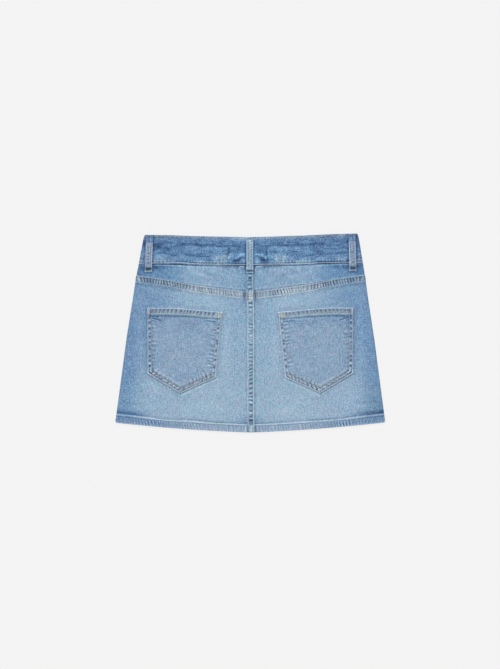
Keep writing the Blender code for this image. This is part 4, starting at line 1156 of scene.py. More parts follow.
class Tree:
    def __init__(self, name):
        self.material = bpy.data.materials.new(name)
        self.material.use_nodes = True
        self.nodes = self.material.node_tree.nodes
        self.links = self.material.node_tree.links
        self.nodes.clear()
        self.out = self.nodes.new("ShaderNodeOutputMaterial")
        self.shader = self.nodes.new("ShaderNodeBsdfPrincipled")
        self.links.new(self.shader.outputs[0], self.out.inputs[0])

    def add(self, kind, settings=None, **inputs):
        n = self.nodes.new("ShaderNode" + kind)
        for key, value in (settings or {}).items():
            setattr(n, key, value)
        for key, value in inputs.items():
            self.put(n.inputs[key.replace("_", " ")], value)
        return n

    def put(self, socket, value):
        if isinstance(value, bpy.types.NodeSocket):
            self.links.new(value, socket)
        else:
            socket.default_value = value

    def math(self, operation, a, b=None, c=None, clamp=False):
        n = self.nodes.new("ShaderNodeMath")
        n.operation, n.use_clamp = operation, clamp
        for socket, value in zip(n.inputs, (a, b, c)):
            if value is not None:
                self.put(socket, value)
        return n.outputs[0]

    def attribute(self, name, output="Fac"):
        return self.add("Attribute", {"attribute_name": name}).outputs[output]

    def noise(self, vector, scale, detail=2.0, roughness=0.55):
        n = self.add("TexNoise", None, Scale=scale, Detail=detail, Roughness=roughness)
        self.put(n.inputs["Vector"], vector)
        return n.outputs["Fac"]

    def stretched(self, vector, x, y):
        n = self.add("Mapping", {"vector_type": "POINT"})
        self.put(n.inputs["Vector"], vector)
        n.inputs["Scale"].default_value = (x, y, 1.0)
        return n.outputs[0]

    def mix(self, factor, a, b, blend="MIX"):
        n = self.nodes.new("ShaderNodeMix")
        n.data_type, n.blend_type = "RGBA", blend
        self.put(n.inputs[0], factor)
        self.put(n.inputs[6], a)
        self.put(n.inputs[7], b)
        return n.outputs[2]

    def ramp(self, factor, stops):
        n = self.nodes.new("ShaderNodeValToRGB")
        ramp = n.color_ramp
        while len(ramp.elements) < len(stops):
            ramp.elements.new(0.5)
        for element, (at, colour) in zip(ramp.elements, stops):
            element.position, element.color = at, colour
        self.put(n.inputs[0], factor)
        return n.outputs[0]


# Indigo as it washes down, from unwashed to bare weft.
WASH = [
    (0.00, rgb(30, 42, 70)),
    (0.15, rgb(56, 82, 124)),
    (0.35, rgb(95, 128, 168)),
    (0.50, rgb(116, 149, 183)),
    (0.65, rgb(135, 166, 193)),
    (0.80, rgb(152, 179, 202)),
    (0.92, rgb(180, 198, 211)),
    (1.00, rgb(214, 219, 220)),
]


def denim(name, patches=1.0, slub=1.0, warm=1.18, cool=0.89):
    t = Tree(name)
    weave = t.attribute("weave", "Vector")
    cloud_fine = t.noise(weave, 240.0, 3.0, 0.6)
    cloud_broad = t.noise(weave, 62.0, 2.0, 0.5)
    grain = t.noise(weave, 470.0, 2.0, 0.6)
    warp = t.noise(t.stretched(weave, 900.0, 75.0), 1.0, 2.0, 0.6)
    warp_broad = t.noise(t.stretched(weave, 430.0, 120.0), 1.0, 2.0, 0.6)
    weft = t.noise(t.stretched(weave, 110.0, 820.0), 1.0, 2.0, 0.6)
    twill = t.add("TexWave", {"wave_type": "BANDS", "bands_direction": "DIAGONAL", "wave_profile": "SIN"}, Scale=455.0, Distortion=1.1, Detail=1.0, Detail_Scale=1.4)
    t.put(twill.inputs["Vector"], weave)
    twill = twill.outputs["Fac"]
    wash = t.attribute("wash")
    for source, amount in ((cloud_fine, 0.06 * patches), (cloud_broad, 0.12 * patches), (warp, 0.04 * slub), (weft, 0.06 * slub), (twill, 0.03)):
        wash = t.math("MULTIPLY_ADD", t.math("SUBTRACT", source, 0.5), amount, wash)
    colour = t.ramp(wash, WASH)
    # patches a little greener and a little more violet, and the attribute's own tint
    hue = t.noise(weave, 75.0, 0.0, 0.5)
    hue = t.math("MULTIPLY_ADD", t.math("SUBTRACT", hue, 0.5), 0.8, 0.5)
    hue = t.math("MULTIPLY_ADD", t.attribute("tint"), 0.5, hue, clamp=True)
    colour = t.mix(hue, t.mix(1.0, colour, (0.93, 1.025, 1.015, 1), "MULTIPLY"), t.mix(1.0, colour, (1.085, 0.955, 1.0, 1), "MULTIPLY"))
    # greyer where the blue is rubbed off, less so where it is already white
    pale = t.add("MapRange", None, Value=wash)
    pale.inputs[1].default_value, pale.inputs[2].default_value = 0.76, 0.98
    pale.inputs[3].default_value, pale.inputs[4].default_value = 1.0, 0.15
    grey = t.math("MULTIPLY", t.math("MULTIPLY_ADD", t.attribute("grey"), 0.6, 0.0, clamp=True), pale.outputs[0])
    colour = t.mix(grey, colour, t.mix(1.0, colour, (1.10, 0.884, 0.735, 1), "MULTIPLY"))
    # uneven yarns lighten and darken the cloth without a change of hue
    yarn = t.math("MULTIPLY", t.math("SUBTRACT", grain, 0.5), 1.65 * slub)
    yarn = t.math("MULTIPLY_ADD", t.math("SUBTRACT", warp_broad, 0.5), 0.75, yarn)
    yarn = t.math("MULTIPLY_ADD", t.math("SUBTRACT", cloud_fine, 0.5), 0.45, yarn)
    yarn = t.math("MULTIPLY_ADD", t.math("SUBTRACT", warp, 0.5), 0.3, yarn)
    # more so where more of the blue is left
    uneven = t.add("MapRange", None, Value=t.attribute("wash"))
    uneven.inputs[1].default_value, uneven.inputs[2].default_value = 0.30, 0.80
    uneven.inputs[3].default_value, uneven.inputs[4].default_value = 1.45, 0.80
    yarn = t.math("MAXIMUM", t.math("MULTIPLY", yarn, uneven.outputs[0]), -0.5)
    # the same step in red, green and blue, which is more of the little red than of the blue
    channels = t.add("CombineXYZ")
    for socket, share in zip(channels.inputs, (warm, 1.0, cool)):
        t.put(socket, t.math("MULTIPLY_ADD", yarn, share, 1.0))
    uneven_colour = t.add("VectorMath", {"operation": "MULTIPLY"})
    t.put(uneven_colour.inputs[0], colour)
    t.put(uneven_colour.inputs[1], channels.outputs[0])
    # the colour is scaled by the light attribute: painted shade and painted highlight
    scaled = t.add("VectorMath", {"operation": "SCALE"})
    t.put(scaled.inputs[0], uneven_colour.outputs[0])
    t.put(scaled.inputs["Scale"], t.attribute("light"))
    t.put(t.shader.inputs["Base Color"], scaled.outputs[0])
    rough = t.add("MapRange", None, Value=warp)
    rough.inputs[3].default_value, rough.inputs[4].default_value = 0.80, 0.97
    t.put(t.shader.inputs["Roughness"], rough.outputs[0])
    t.shader.inputs["Specular IOR Level"].default_value = 0.22
    t.shader.inputs["Sheen Weight"].default_value = 0.10
    t.shader.inputs["Sheen Roughness"].default_value = 0.5
    high = t.math("MULTIPLY_ADD", warp, 0.55, t.math("MULTIPLY_ADD", weft, 0.35, t.math("MULTIPLY", twill, 0.5)))
    high = t.math("MULTIPLY_ADD", cloud_fine, 0.6, high)
    bump = t.add("Bump", None, Strength=0.55, Distance=0.00022, Height=high)
    t.put(t.shader.inputs["Normal"], bump.outputs[0])
    return t.material


def thread_material(name):
    t = Tree(name)
    twist = t.attribute("twist", "Vector")
    ply = t.add("TexWave", {"wave_type": "BANDS", "bands_direction": "DIAGONAL", "wave_profile": "SIN"}, Scale=520.0, Distortion=0.6, Detail=1.0)
    t.put(ply.inputs["Vector"], twist)
    fuzz = t.noise(twist, 1500.0, 2.0, 0.6)
    colour = t.attribute("dye", "Color")
    colour = t.mix(t.math("MULTIPLY", ply.outputs["Fac"], 0.35), colour, t.mix(1.0, colour, (0.72, 0.74, 0.78, 1), "MULTIPLY"))
    colour = t.mix(t.math("MULTIPLY", fuzz, 0.4), colour, t.mix(1.0, colour, (0.8, 0.84, 0.9, 1), "MULTIPLY"))
    t.put(t.shader.inputs["Base Color"], colour)
    rough = t.add("MapRange", None, Value=fuzz)
    rough.inputs[3].default_value, rough.inputs[4].default_value = 0.6, 0.8
    t.put(t.shader.inputs["Roughness"], rough.outputs[0])
    t.shader.inputs["Specular IOR Level"].default_value = 0.35
    bump = t.add("Bump", None, Strength=0.5, Distance=0.0001, Height=ply.outputs["Fac"])
    t.put(t.shader.inputs["Normal"], bump.outputs[0])
    return t.material


def tape_material():
    t = Tree("zip_tape")
    where = t.add("TexCoord").outputs["Object"]
    rib = t.add("TexWave", {"wave_type": "BANDS", "bands_direction": "Y", "wave_profile": "SIN"}, Scale=620.0, Distortion=0.4, Detail=1.0)
    t.put(rib.inputs["Vector"], where)
    colour = t.ramp(rib.outputs["Fac"], [(0.0, rgb(52, 70, 104)), (1.0, rgb(84, 106, 142))])
    t.put(t.shader.inputs["Base Color"], colour)
    t.shader.inputs["Roughness"].default_value = 0.75
    bump = t.add("Bump", None, Strength=0.5, Distance=0.0001, Height=rib.outputs["Fac"])
    t.put(t.shader.inputs["Normal"], bump.outputs[0])
    return t.material


def metal_material():
    t = Tree("button_metal")
    where = t.add("TexCoord").outputs["Object"]
    spots = t.noise(where, 900.0, 4.0, 0.6)
    broad = t.noise(where, 220.0, 2.0, 0.5)
    colour = t.ramp(t.math("MULTIPLY_ADD", spots, 0.5, t.math("MULTIPLY", broad, 0.5)), [(0.25, rgb(88, 80, 70)), (0.5, rgb(160, 150, 132)), (0.75, rgb(196, 188, 172))])
    t.put(t.shader.inputs["Base Color"], colour)
    t.shader.inputs["Metallic"].default_value = 1.0
    rough = t.add("MapRange", None, Value=spots)
    rough.inputs[3].default_value, rough.inputs[4].default_value = 0.25, 0.5
    t.put(t.shader.inputs["Roughness"], rough.outputs[0])
    bump = t.add("Bump", None, Strength=0.3, Distance=0.00008, Height=spots)
    t.put(t.shader.inputs["Normal"], bump.outputs[0])
    return t.material


DENIM_BODY = denim("denim_body")
DENIM_BAND = denim("denim_band", 1.15, 1.25, 1.32, 0.80)
DENIM_WORN = denim("denim_worn", 1.0, 1.0)
THREAD = thread_material("topstitch_thread")

# ================================================================ cloth walls
AT_TOP = round_places(TOP, BAND_WALL / 2, 1)
AT_EDGE = round_places(EDGE, HEM_WALL / 2, -1)


def build_walls():
    rows = graded(WAIST + GAP / 2, TOP - BAND_WALL / 2, 0.95, 0.35, 1.0, 0.0)
    rows = np.unique(np.concatenate([rows, AT_TOP]))
    wall("cloth_waistband_back", 1, band_levels, both_columns(1.05), rows, BAND_WALL, back_band, [DENIM_BAND], high=TOP, lap_low=0.8, crosswise=True)

    half = float(half_width((TOP + WAIST) / 2))
    rows = graded(WAIST + GAP / 2, TOP - BAND_WALL / 2, 1.6, 0.5, 1.0, 0.0)
    rows = np.unique(np.concatenate([rows, AT_TOP]))
    for side, hand in ((-1, "left"), (1, "right")):
        flat = np.concatenate([[-UNDERLAP / half], np.arange(-UNDERLAP + 1.7, 185, 1.9) / half])
        columns = side * np.concatenate([flat[flat < 0.995], [1.0], 1 + np.arange(1, 9) / 8])
        up = OVERLAP_RISE if side > 0 else 0.0
        wall(
            "cloth_waistband_front_" + hand, -1, band_levels, columns, rows, BAND_WALL, front_band, [DENIM_BAND], high=TOP, lap_low=0.8,
            raised=lambda a, x, side=side, up=up: up * smooth((50.0 - side * x) / 24.0), crosswise=True,
        )

    yoke = graded(YOKE + GAP / 2, WAIST - GAP / 2, 1.15, 0.5, 0.0, 6.0)
    panel = graded(HEM + GAP / 2, YOKE - GAP / 2, 1.6, 0.6, 9.0, 0.0)
    front = graded(HEM + GAP / 2, WAIST - GAP / 2, 2.8, 0.8, 6.0, 5.0)
    for side, hand in ((-1, "left"), (1, "right")):
        first = GAP / 2 / 200
        wall("cloth_yoke_" + hand, 1, body_levels, half_columns(side, 1.3, first), yoke, DENIM, back_body, [DENIM_BODY])
        wall("cloth_back_panel_" + hand, 1, body_levels, half_columns(side, 1.6, first), panel, DENIM, back_body, [DENIM_BODY])
        wall("cloth_front_panel_" + hand, -1, body_levels, half_columns(side, 2.6, first), front, DENIM, front_body, [DENIM_BODY])

    hem = np.unique(np.concatenate([AT_EDGE, graded(EDGE + HEM_WALL / 2, HEM - GAP / 2, 0.85, 0.4, 0.0, 0.8)]))
    wall("cloth_hem_back", 1, body_levels, both_columns(0.95), hem, HEM_WALL, hem_field, [DENIM_BODY], low=EDGE)
    wall("cloth_hem_front", -1, body_levels, both_columns(1.7), hem, HEM_WALL, front_hem, [DENIM_BODY], low=EDGE)


# ================================================================ laps, pockets, loops
def lap_profile(v, half, thick, rows_at):
    """Outer height of a lapped strip above the cloth, across its width."""
    edge = np.clip(np.abs(v) / half, 0, 1)
    top = 0.22 + (thick + GAP - 0.22) * (1 - edge**7) ** 0.55
    for at in rows_at:
        top = top - 0.30 * bell(np.abs(v) - at, 0.85)
    return top


YOKE_ROWS = 4.9
CENTRE_ROWS = 4.95

# Marks on the centre back lap: thick folds and rubbed knots where the seams meet, and
# the painted shadow under the centre loop's end.
CENTRE_MARKS = [
    Mark(-0.9, 97.6, 3.2, 1.3, 0.20, -0.2, 0.0),
    # painted shadow under the lower end of the centre loop
    Mark(-0.4, 101.0, 4.6, 1.3, -0.16, -0.2, -0.3),
    Mark(-0.9, 94.2, 2.6, 1.7, -0.36, 0.0, 0.0),
    Mark(-5.4, 93.0, 1.4, 1.4, 0.14, 0.0, 0.2),
    Mark(-1.2, 91.0, 3.0, 1.0, 0.10, 0.0, 0.0),
    Mark(-1.4, 89.2, 2.6, 1.0, -0.22, 0.0, 0.0),
    Mark(-0.6, 86.0, 3.4, 1.0, 0.10, 0.0, 0.0),
    Mark(-2.0, 82.4, 2.4, 1.0, -0.20, 0.0, 0.0),
    Mark(3.9, 87.0, 0.9, 11.0, 0.16, 0.0, -0.2),
    Mark(-0.6, 78.6, 3.0, 1.7, 0.18, 0.0, 0.9),
    Mark(-0.5, 75.2, 3.8, 0.95, -0.32, 0.0, 0.0),
    Mark(-2.9, 70.6, 0.8, 0.7, -0.26, 0.0, 0.0),
    Mark(2.3, 69.4, 0.8, 0.7, -0.20, 0.0, 0.0),
    Mark(-1.2, 66.4, 0.9, 0.7, -0.20, 0.0, 0.0),
    Mark(3.2, 64.4, 0.8, 0.7, -0.22, 0.0, 0.0),
    Mark(-4.0, 62.8, 0.9, 0.8, -0.22, 0.0, 0.0),
    Mark(0.4, 60.9, 0.8, 0.7, -0.18, 0.0, 0.0),
    Mark(-4.6, 57.2, 1.9, 1.2, -0.22, 0.0, 0.0),
    Mark(0.6, 51.6, 2.6, 1.8, -0.14, 0.0, -0.4),
    Mark(0.2, 60.2, 2.8, 1.0, 0.08, 0.0, 0.0),
    Mark(0.6, 47.2, 3.2, 1.3, 0.13, 0.0, 0.0),
    Mark(0.0, -85.7, 4.0, 4.0, -0.06, 0.0, 0.0),
    Mark(0.0, -94.2, 4.0, 2.6, -0.08, 0.0, 0.0),
    Mark(-0.6, -148.5, 4.6, 7.5, -0.17, 0.0, -0.5),
]


# Dark hooks down the centre back lap, each with its place along it and its strength:
# dips in the cloth whose darkness is painted shade.
CENTRE_HOOKS = [
    (57.2, 0.9), (51.6, 1.0), (44.4, 0.8), (36.8, 0.4), (29.0, 0.3), (22.6, 0.5), (15.2, 1.0), (9.0, 0.9), (3.4, 1.0),
    (-1.4, 0.9), (-7.4, 0.7), (-13.5, 0.3), (-20.2, 0.9), (-28.8, 1.0), (-35.4, 0.9), (-40.8, 1.0), (-47.0, 0.8),
    (-53.6, 0.9), (-60.4, 1.0), (-67.0, 0.7), (-72.2, 0.7), (-79.0, 0.7), (-85.4, 1.3), (-93.4, 1.0), (-102.2, 0.9),
    (-107.8, 0.5), (-113.8, 0.9), (-123.0, 1.4), (-131.0, 1.1), (-141.2, 1.3), (-148.2, 1.4), (-152.6, 1.0),
]


def yoke_lap(q, v):
    """The lap over the yoke seam; q runs out along it and v across it, both in mm."""
    side = np.sign(q) + (q == 0)
    size = np.abs(q)
    far = smooth((size - 34) / 100)
    outer = smooth((size - 104) / 20)
    slant = side * 0.30 * v * np.clip(2.2 * wander(q, 27, 101) + 0.4, -1, 1)
    pull = puckers(size + slant, 5.0, 102, 0.46) + 0.35 * puckers(size - slant, 3.4, 104, 0.35)
    inside = 1 - smooth((np.abs(v - 0.7) - 3.2) / 1.6)
    height = lap_profile(v, FELL_WIDTH / 2, FELL_WALL, [YOKE_ROWS]) + 0.28 * pull * inside * (0.6 + 0.4 * far)
    height = height + 0.10 * pull * (1 - inside)
    wash = 0.70 - 0.115 * far - 0.08 * bell(size - 168, 22) + 0.04 * cloud(q, v, 7, 105)
    amount = 0.58 + 0.26 * bell(size - 132, 28) + 0.02 * smooth((size - 150) / 20)
    # the puckers' troughs painted darker and their crests paler: painted shade and highlight
    bars = spiked(pull) - (0.16 + 0.10 * outer) * np.clip(pull, 0, 2)
    shade_and_marks = amount * bars * inside * (0.8 + 0.45 * wander(q, 19, 107)) + 0.03 * inside
    shade_and_marks = shade_and_marks + 0.06 * pull * (1 - inside) + 0.07 * inside
    # every few bars are darker or paler together
    shade_and_marks = shade_and_marks + 0.13 * wander(q, 8.5, 108) * inside
    shade_and_marks = shade_and_marks - 0.03 + 0.09 * smooth((size - 50) / 20) - 0.13 * outer
    shade_and_marks = shade_and_marks + (0.34 - 0.22 * outer) * bell(v + 5.8, 1.3) - 0.08 * bell(v + 3.7, 0.8)
    shade_and_marks = shade_and_marks + (0.17 + 0.10 * outer) * bell(v - 6.2, 0.9) - (0.15 + 0.05 * outer) * bell(v - 4.0, 1.2) - 0.22 * bell(size - 128, 26) * bell(v - 4.9, 0.9) + 0.14 * smooth((size - 56) / 8) * bell(v - 6.6, 0.8) + 0.08 * far * bell(v + 4.3, 1.3)
    shade_and_marks = shade_and_marks - 0.07 * bell(size - 85, 26) * bell(v - 2.2, 1.3) - 0.06 * bell(size - 85, 26) * bell(v - 2.8, 1.5) + 0.09 * bell(size - 85, 26) * bell(v - 6.6, 0.9) + 0.08 * bell(size - 36, 24) * bell(v + 6.7, 0.9)
    # the knot of cloth where the laps meet, with painted shade beside it
    left = q < 0
    shade_and_marks = shade_and_marks + np.where(left, lines(size, (6.6, 0.9, 0.48), (8.4, 0.9, -0.18), (9.9, 1.5, -0.56), (12.4, 1.8, -0.16)), lines(size, (7.6, 1.9, -0.70), (10.8, 1.8, -0.14)))
    grey = 0.97 + 0.35 * smooth((size - 50) / 25) - 0.12 * outer + 0.10 * pull * inside
    grey = grey - (0.25 + 0.75 * outer) * bell(v + 5.8, 1.5) - 0.35 * bell(v - 5.6, 1.2) - 0.7 * outer * bell(v + 4.2, 1.5)
    tint = 0.05 - 0.4 * far * smooth((size - 120) / 40) + 0.4 * cloud(q, v, 7, 106)
    return looks(height, wash, grey, tint, shade_and_marks)


def centre_lap(along, v, x, y):
    bend = 0.10 * (v - 1.2) ** 2 * np.clip(2 * wander(along, 17, 111) + 0.6, -1, 1) + 0.35 * v * wander(along, 23, 116)
    pull = puckers(along + bend, 6.4, 112, 0.56)
    pull = pull + 0.45 * puckers(along - 0.5 * v, 3.6, 113, 0.4)
    fell = smooth((along - YOKE - 8) / 4)
    inside = 1 - smooth((np.abs(v - 0.2 + 0.6 * fell) - 2.0) / 1.8)
    crossing = smooth((8.0 - np.abs(along - YOKE + 1.5)) / 2.0)
    in_hem = smooth((HEM + 0.6 - along) / 1.5)
    upper = smooth((along - YOKE - 8) / 4)
    height = lap_profile(v, CENTRE_FELL_WIDTH / 2, FELL_WALL, [CENTRE_ROWS])
    amount = inside * (1 - crossing) * (1 - 0.5 * in_hem) * (1 - 0.65 * upper)
    hooks = sum(-strength * bell(along + bend - at, 1.5) for at, strength in CENTRE_HOOKS) * (1 - in_hem)
    height = height + 0.30 * (0.6 * pull + hooks) * amount
    height = height + 0.35 * crossing * (1 - np.clip(np.abs(v) / 5.9, 0, 1) ** 4)
    wash = 0.68 + 0.04 * cloud(along, v, 7, 114) + 0.05 * crossing + 0.04 * in_hem
    # painted shade in the troughs of the puckers and hooks, and painted highlight on the crests
    bars = spiked(pull) - 0.30 * np.clip(pull, 0, 2)
    hooked = (1 - smooth((np.abs(v - 0.8 + 1.2 * fell) - 2.0) / 1.9)) * (1 - crossing)
    shade_and_marks = 0.38 * bars * amount + 0.52 * hooks * hooked + (0.15 + 0.10 * wander(along, 9.0, 118)) * amount - 0.05 * fell * amount
    shade_and_marks = shade_and_marks + 0.07 * (1 - fell) * (1 - crossing) * (1 - in_hem) * bell(v + 3.9, 1.5) * (1 + 0.9 * wander(along, 5.0, 119))
    plain = 1 - 0.75 * crossing
    shade_and_marks = shade_and_marks + plain * (1 - upper) * lines(v, (5.1, 1.0, 0.40), (-5.0, 1.1, 0.18), (-2.9, 0.8, -0.10), (0.0, 1.6, 0.03), (3.6, 0.8, -0.17), (6.1, 0.5, -0.12), (-6.0, 0.5, -0.10))
    shade_and_marks = shade_and_marks + plain * upper * lines(v, (5.1, 1.0, 0.13), (-5.0, 1.1, 0.03), (3.4, 0.9, -0.10), (0.8, 1.6, -0.09))
    shade_and_marks = shade_and_marks - (0.12 + 0.06 * (v > 0)) * upper
    wash = wash - 0.12 * upper * bell(np.abs(v) - 5.2, 1.4)
    # painted shade round the raised crossing of the seams, and beside the lap's edges where it lies on the hem
    shade_and_marks = shade_and_marks + crossing * (lines(v, (-6.3, 0.9, 0.34), (-4.8, 1.0, -0.26), (-3.2, 1.3, -0.26), (-1.0, 1.0, 0.05), (1.2, 1.0, -0.10), (3.2, 1.0, 0.04)) + 0.14 - 0.34 * smooth((v - 5.1) / 0.8))
    grid = np.cos(2 * np.pi * (along - YOKE) / 4.1) * (1 - smooth((np.abs(v) - 4.0) / 1.5))
    shade_and_marks = shade_and_marks + 0.12 * grid * crossing
    shade_and_marks = shade_and_marks + in_hem * lines(v, (-1.0, 1.6, 0.09), (3.0, 1.2, 0.05), (-5.0, 1.1, -0.50), (5.6, 1.0, -0.22))
    tone, mark_grey, mark_tint = mark_field(x, y, CENTRE_MARKS)
    shade_and_marks = shade_and_marks + (1.7 + 0.5 * upper) * tone
    crest = np.clip(0.5 * pull + 0.2 + hooks, -1, 1)
    grey = 0.62 + mark_grey + 0.35 * crest * amount + 0.25 * bell(v - 1, 2) + 0.75 * crossing + 0.8 * in_hem * bell(v - 2, 2.5)
    grey = grey - (1 - crossing) * lines(v, (-5.2, 1.3, 0.5), (5.3, 1.3, 0.7)) - 0.6 * upper
    tint = mark_tint - 0.5 * bell(v - 5.4, 1.2) + 0.3 * cloud(along, v, 7, 115) - 0.15 + 0.9 * hooks * amount - 1.0 * upper + 0.6 * in_hem * bell(v + 0.5, 2)
    return looks(height, wash, grey, tint, shade_and_marks)


def yoke_lap_at(columns, v):
    """The lap's rows keep an even distance from the seam in plan."""
    A, V = np.meshgrid(columns, v, indexing="ij")
    seam = place(body_levels, 1, A, np.full_like(A, YOKE), 0.0)
    along = along_at(seam[..., 0], seam[..., 1] + V)
    return A, V, along


def build_laps():
    half = FELL_WIDTH / 2
    v = np.concatenate([[-half, -half + 0.08, -half + 0.25, -half + 0.5, -half + 0.85], np.linspace(-5.0, 5.0, 16), [half - 0.85, half - 0.5, half - 0.25, half - 0.08, half]])
    flat_reach = float(half_width(YOKE)) - 2.15
    for side, hand in ((-1, "left"), (1, "right")):
        first = side * (float(centre_seam(YOKE)) - float(lean(YOKE))) + CENTRE_FELL_WIDTH / 2 + GAP + 0.2
        flat = np.concatenate([[first], np.arange(first + 0.8, 196.0, 0.85)]) / flat_reach
        columns = side * np.concatenate([flat[flat < 0.997], [1.0], 1 + np.arange(1, 9) / 8])
        A, V, L = yoke_lap_at(columns, v)
        base = place(body_levels, 1, A, L, 0.0)
        relief = back_body(base[..., 0], base[..., 1], L).height
        q = arc(body_levels, A, L)
        look = yoke_lap(q, V)
        pressed = 1 - 0.62 * smooth((np.abs(A) - 0.965) / 0.03)
        outer = place(body_levels, 1, A, L, relief + look.height * pressed)
        inner = place(body_levels, 1, A, L, relief + 0.1)
        shell("lap_yoke_" + hand, outer, inner, look, np.stack([q, V], -1), [DENIM_WORN])

    half = CENTRE_FELL_WIDTH / 2
    v = np.concatenate([[-half, -half + 0.08, -half + 0.25, -half + 0.5, -half + 0.85], np.linspace(-4.7, 4.7, 15), [half - 0.85, half - 0.5, half - 0.25, half - 0.08, half]])
    t = graded(EDGE + 0.9, WAIST - GAP / 2, 0.85, 0.4, 1.5, 0.0)
    V, L = np.meshgrid(v, t, indexing="ij")
    x = centre_seam(L) + V
    y = row_y(L, x)
    relief = back_body(x, y, L).height * smooth((L - HEM) / 3)
    look = centre_lap(L, V, x, y)
    _, high, _ = body_levels(L, x)
    ends = 0.9 * bell(L - t[0], 0.8)
    outer = np.stack([x, y, high + relief + np.maximum(look.height - ends, 0.15)], -1)
    inner = np.stack([x, y, high + relief + 0.1], -1)
    shell("lap_centre_back", outer, inner, look, np.stack([V, L], -1), [DENIM_WORN])


POCKET_ROWS = (1.8, 6.5)
TOP_ROW = 10.0

# Marks at the pockets' top corners, the same on both: x is the distance from the centre.
POCKET_MARKS = [
    Mark(47.6, 34.4, 1.6, 1.3, 0.30, 0.0, 0.0),
    Mark(57.5, 31.4, 1.5, 1.5, 0.24, 0.0, 0.0),
    Mark(55.8, 22.0, 0.8, 6.5, -0.24, 0.0, 0.0),
    Mark(53.6, 21.6, 0.8, 6.0, 0.16, 0.0, 0.0),
    Mark(51.2, 21.6, 0.8, 5.5, -0.26, 0.0, 0.0),
    Mark(49.2, 22.4, 0.8, 5.5, 0.16, 0.0, 0.0),
    Mark(174.4, 41.0, 1.6, 1.5, 0.22, 0.0, 0.2),
    Mark(169.9, 35.8, 0.9, 6.4, -0.30, 0.0, 0.0),
    Mark(157.5, 28.6, 2.0, 0.9, -0.20, -0.3, -0.6),
    Mark(163.4, 30.2, 2.0, 1.6, 0.12, 0.0, 0.0),
    Mark(152.6, 28.8, 2.2, 1.2, 0.12, 0.0, 0.0),
    Mark(166.0, 24.0, 1.6, 1.3, 0.14, 0.0, 0.0),
]

# Dots between the two rows on a pocket's sides, the same on both pockets: how far down
# from its top corner each one lies, and how deep it is.  Below zero they are pale.  A dot is
# a dip painted darker as shade; a pale one rises a little and is painted paler as highlight.
INNER_DOTS = [
    (10.0, 0.7), (22.0, 0.8), (27.5, 1.3), (35.5, 1.2), (49.0, 0.9), (54.5, 0.8), (66.0, 1.1), (75.0, 0.7), (81.5, 1.2), (93.5, 1.0), (103.5, 0.7),
    (15.0, -0.5), (25.0, -0.4), (32.0, -1.2), (39.5, -0.4), (44.5, -0.7), (52.0, -0.3), (58.0, -0.9), (71.0, -0.8), (78.0, -1.0), (85.5, -1.1), (100.0, -0.8), (108.0, -0.4),
]
OUTER_DOTS = [
    (12.5, 0.8), (16.5, 0.8), (24.5, 1.0), (35.0, 1.0), (43.0, 0.9), (48.5, 1.2), (58.0, 1.0), (64.0, 0.4), (69.5, 0.6), (82.5, 1.2), (89.0, 1.1), (98.0, 1.7),
    (21.0, -1.2), (30.0, -1.1), (40.0, -1.1), (45.5, -0.6), (55.0, -0.9), (61.0, -0.5), (73.5, -0.6), (78.0, -0.6), (85.0, -0.8), (94.0, -1.5), (102.0, -0.5), (107.0, -0.7),
]


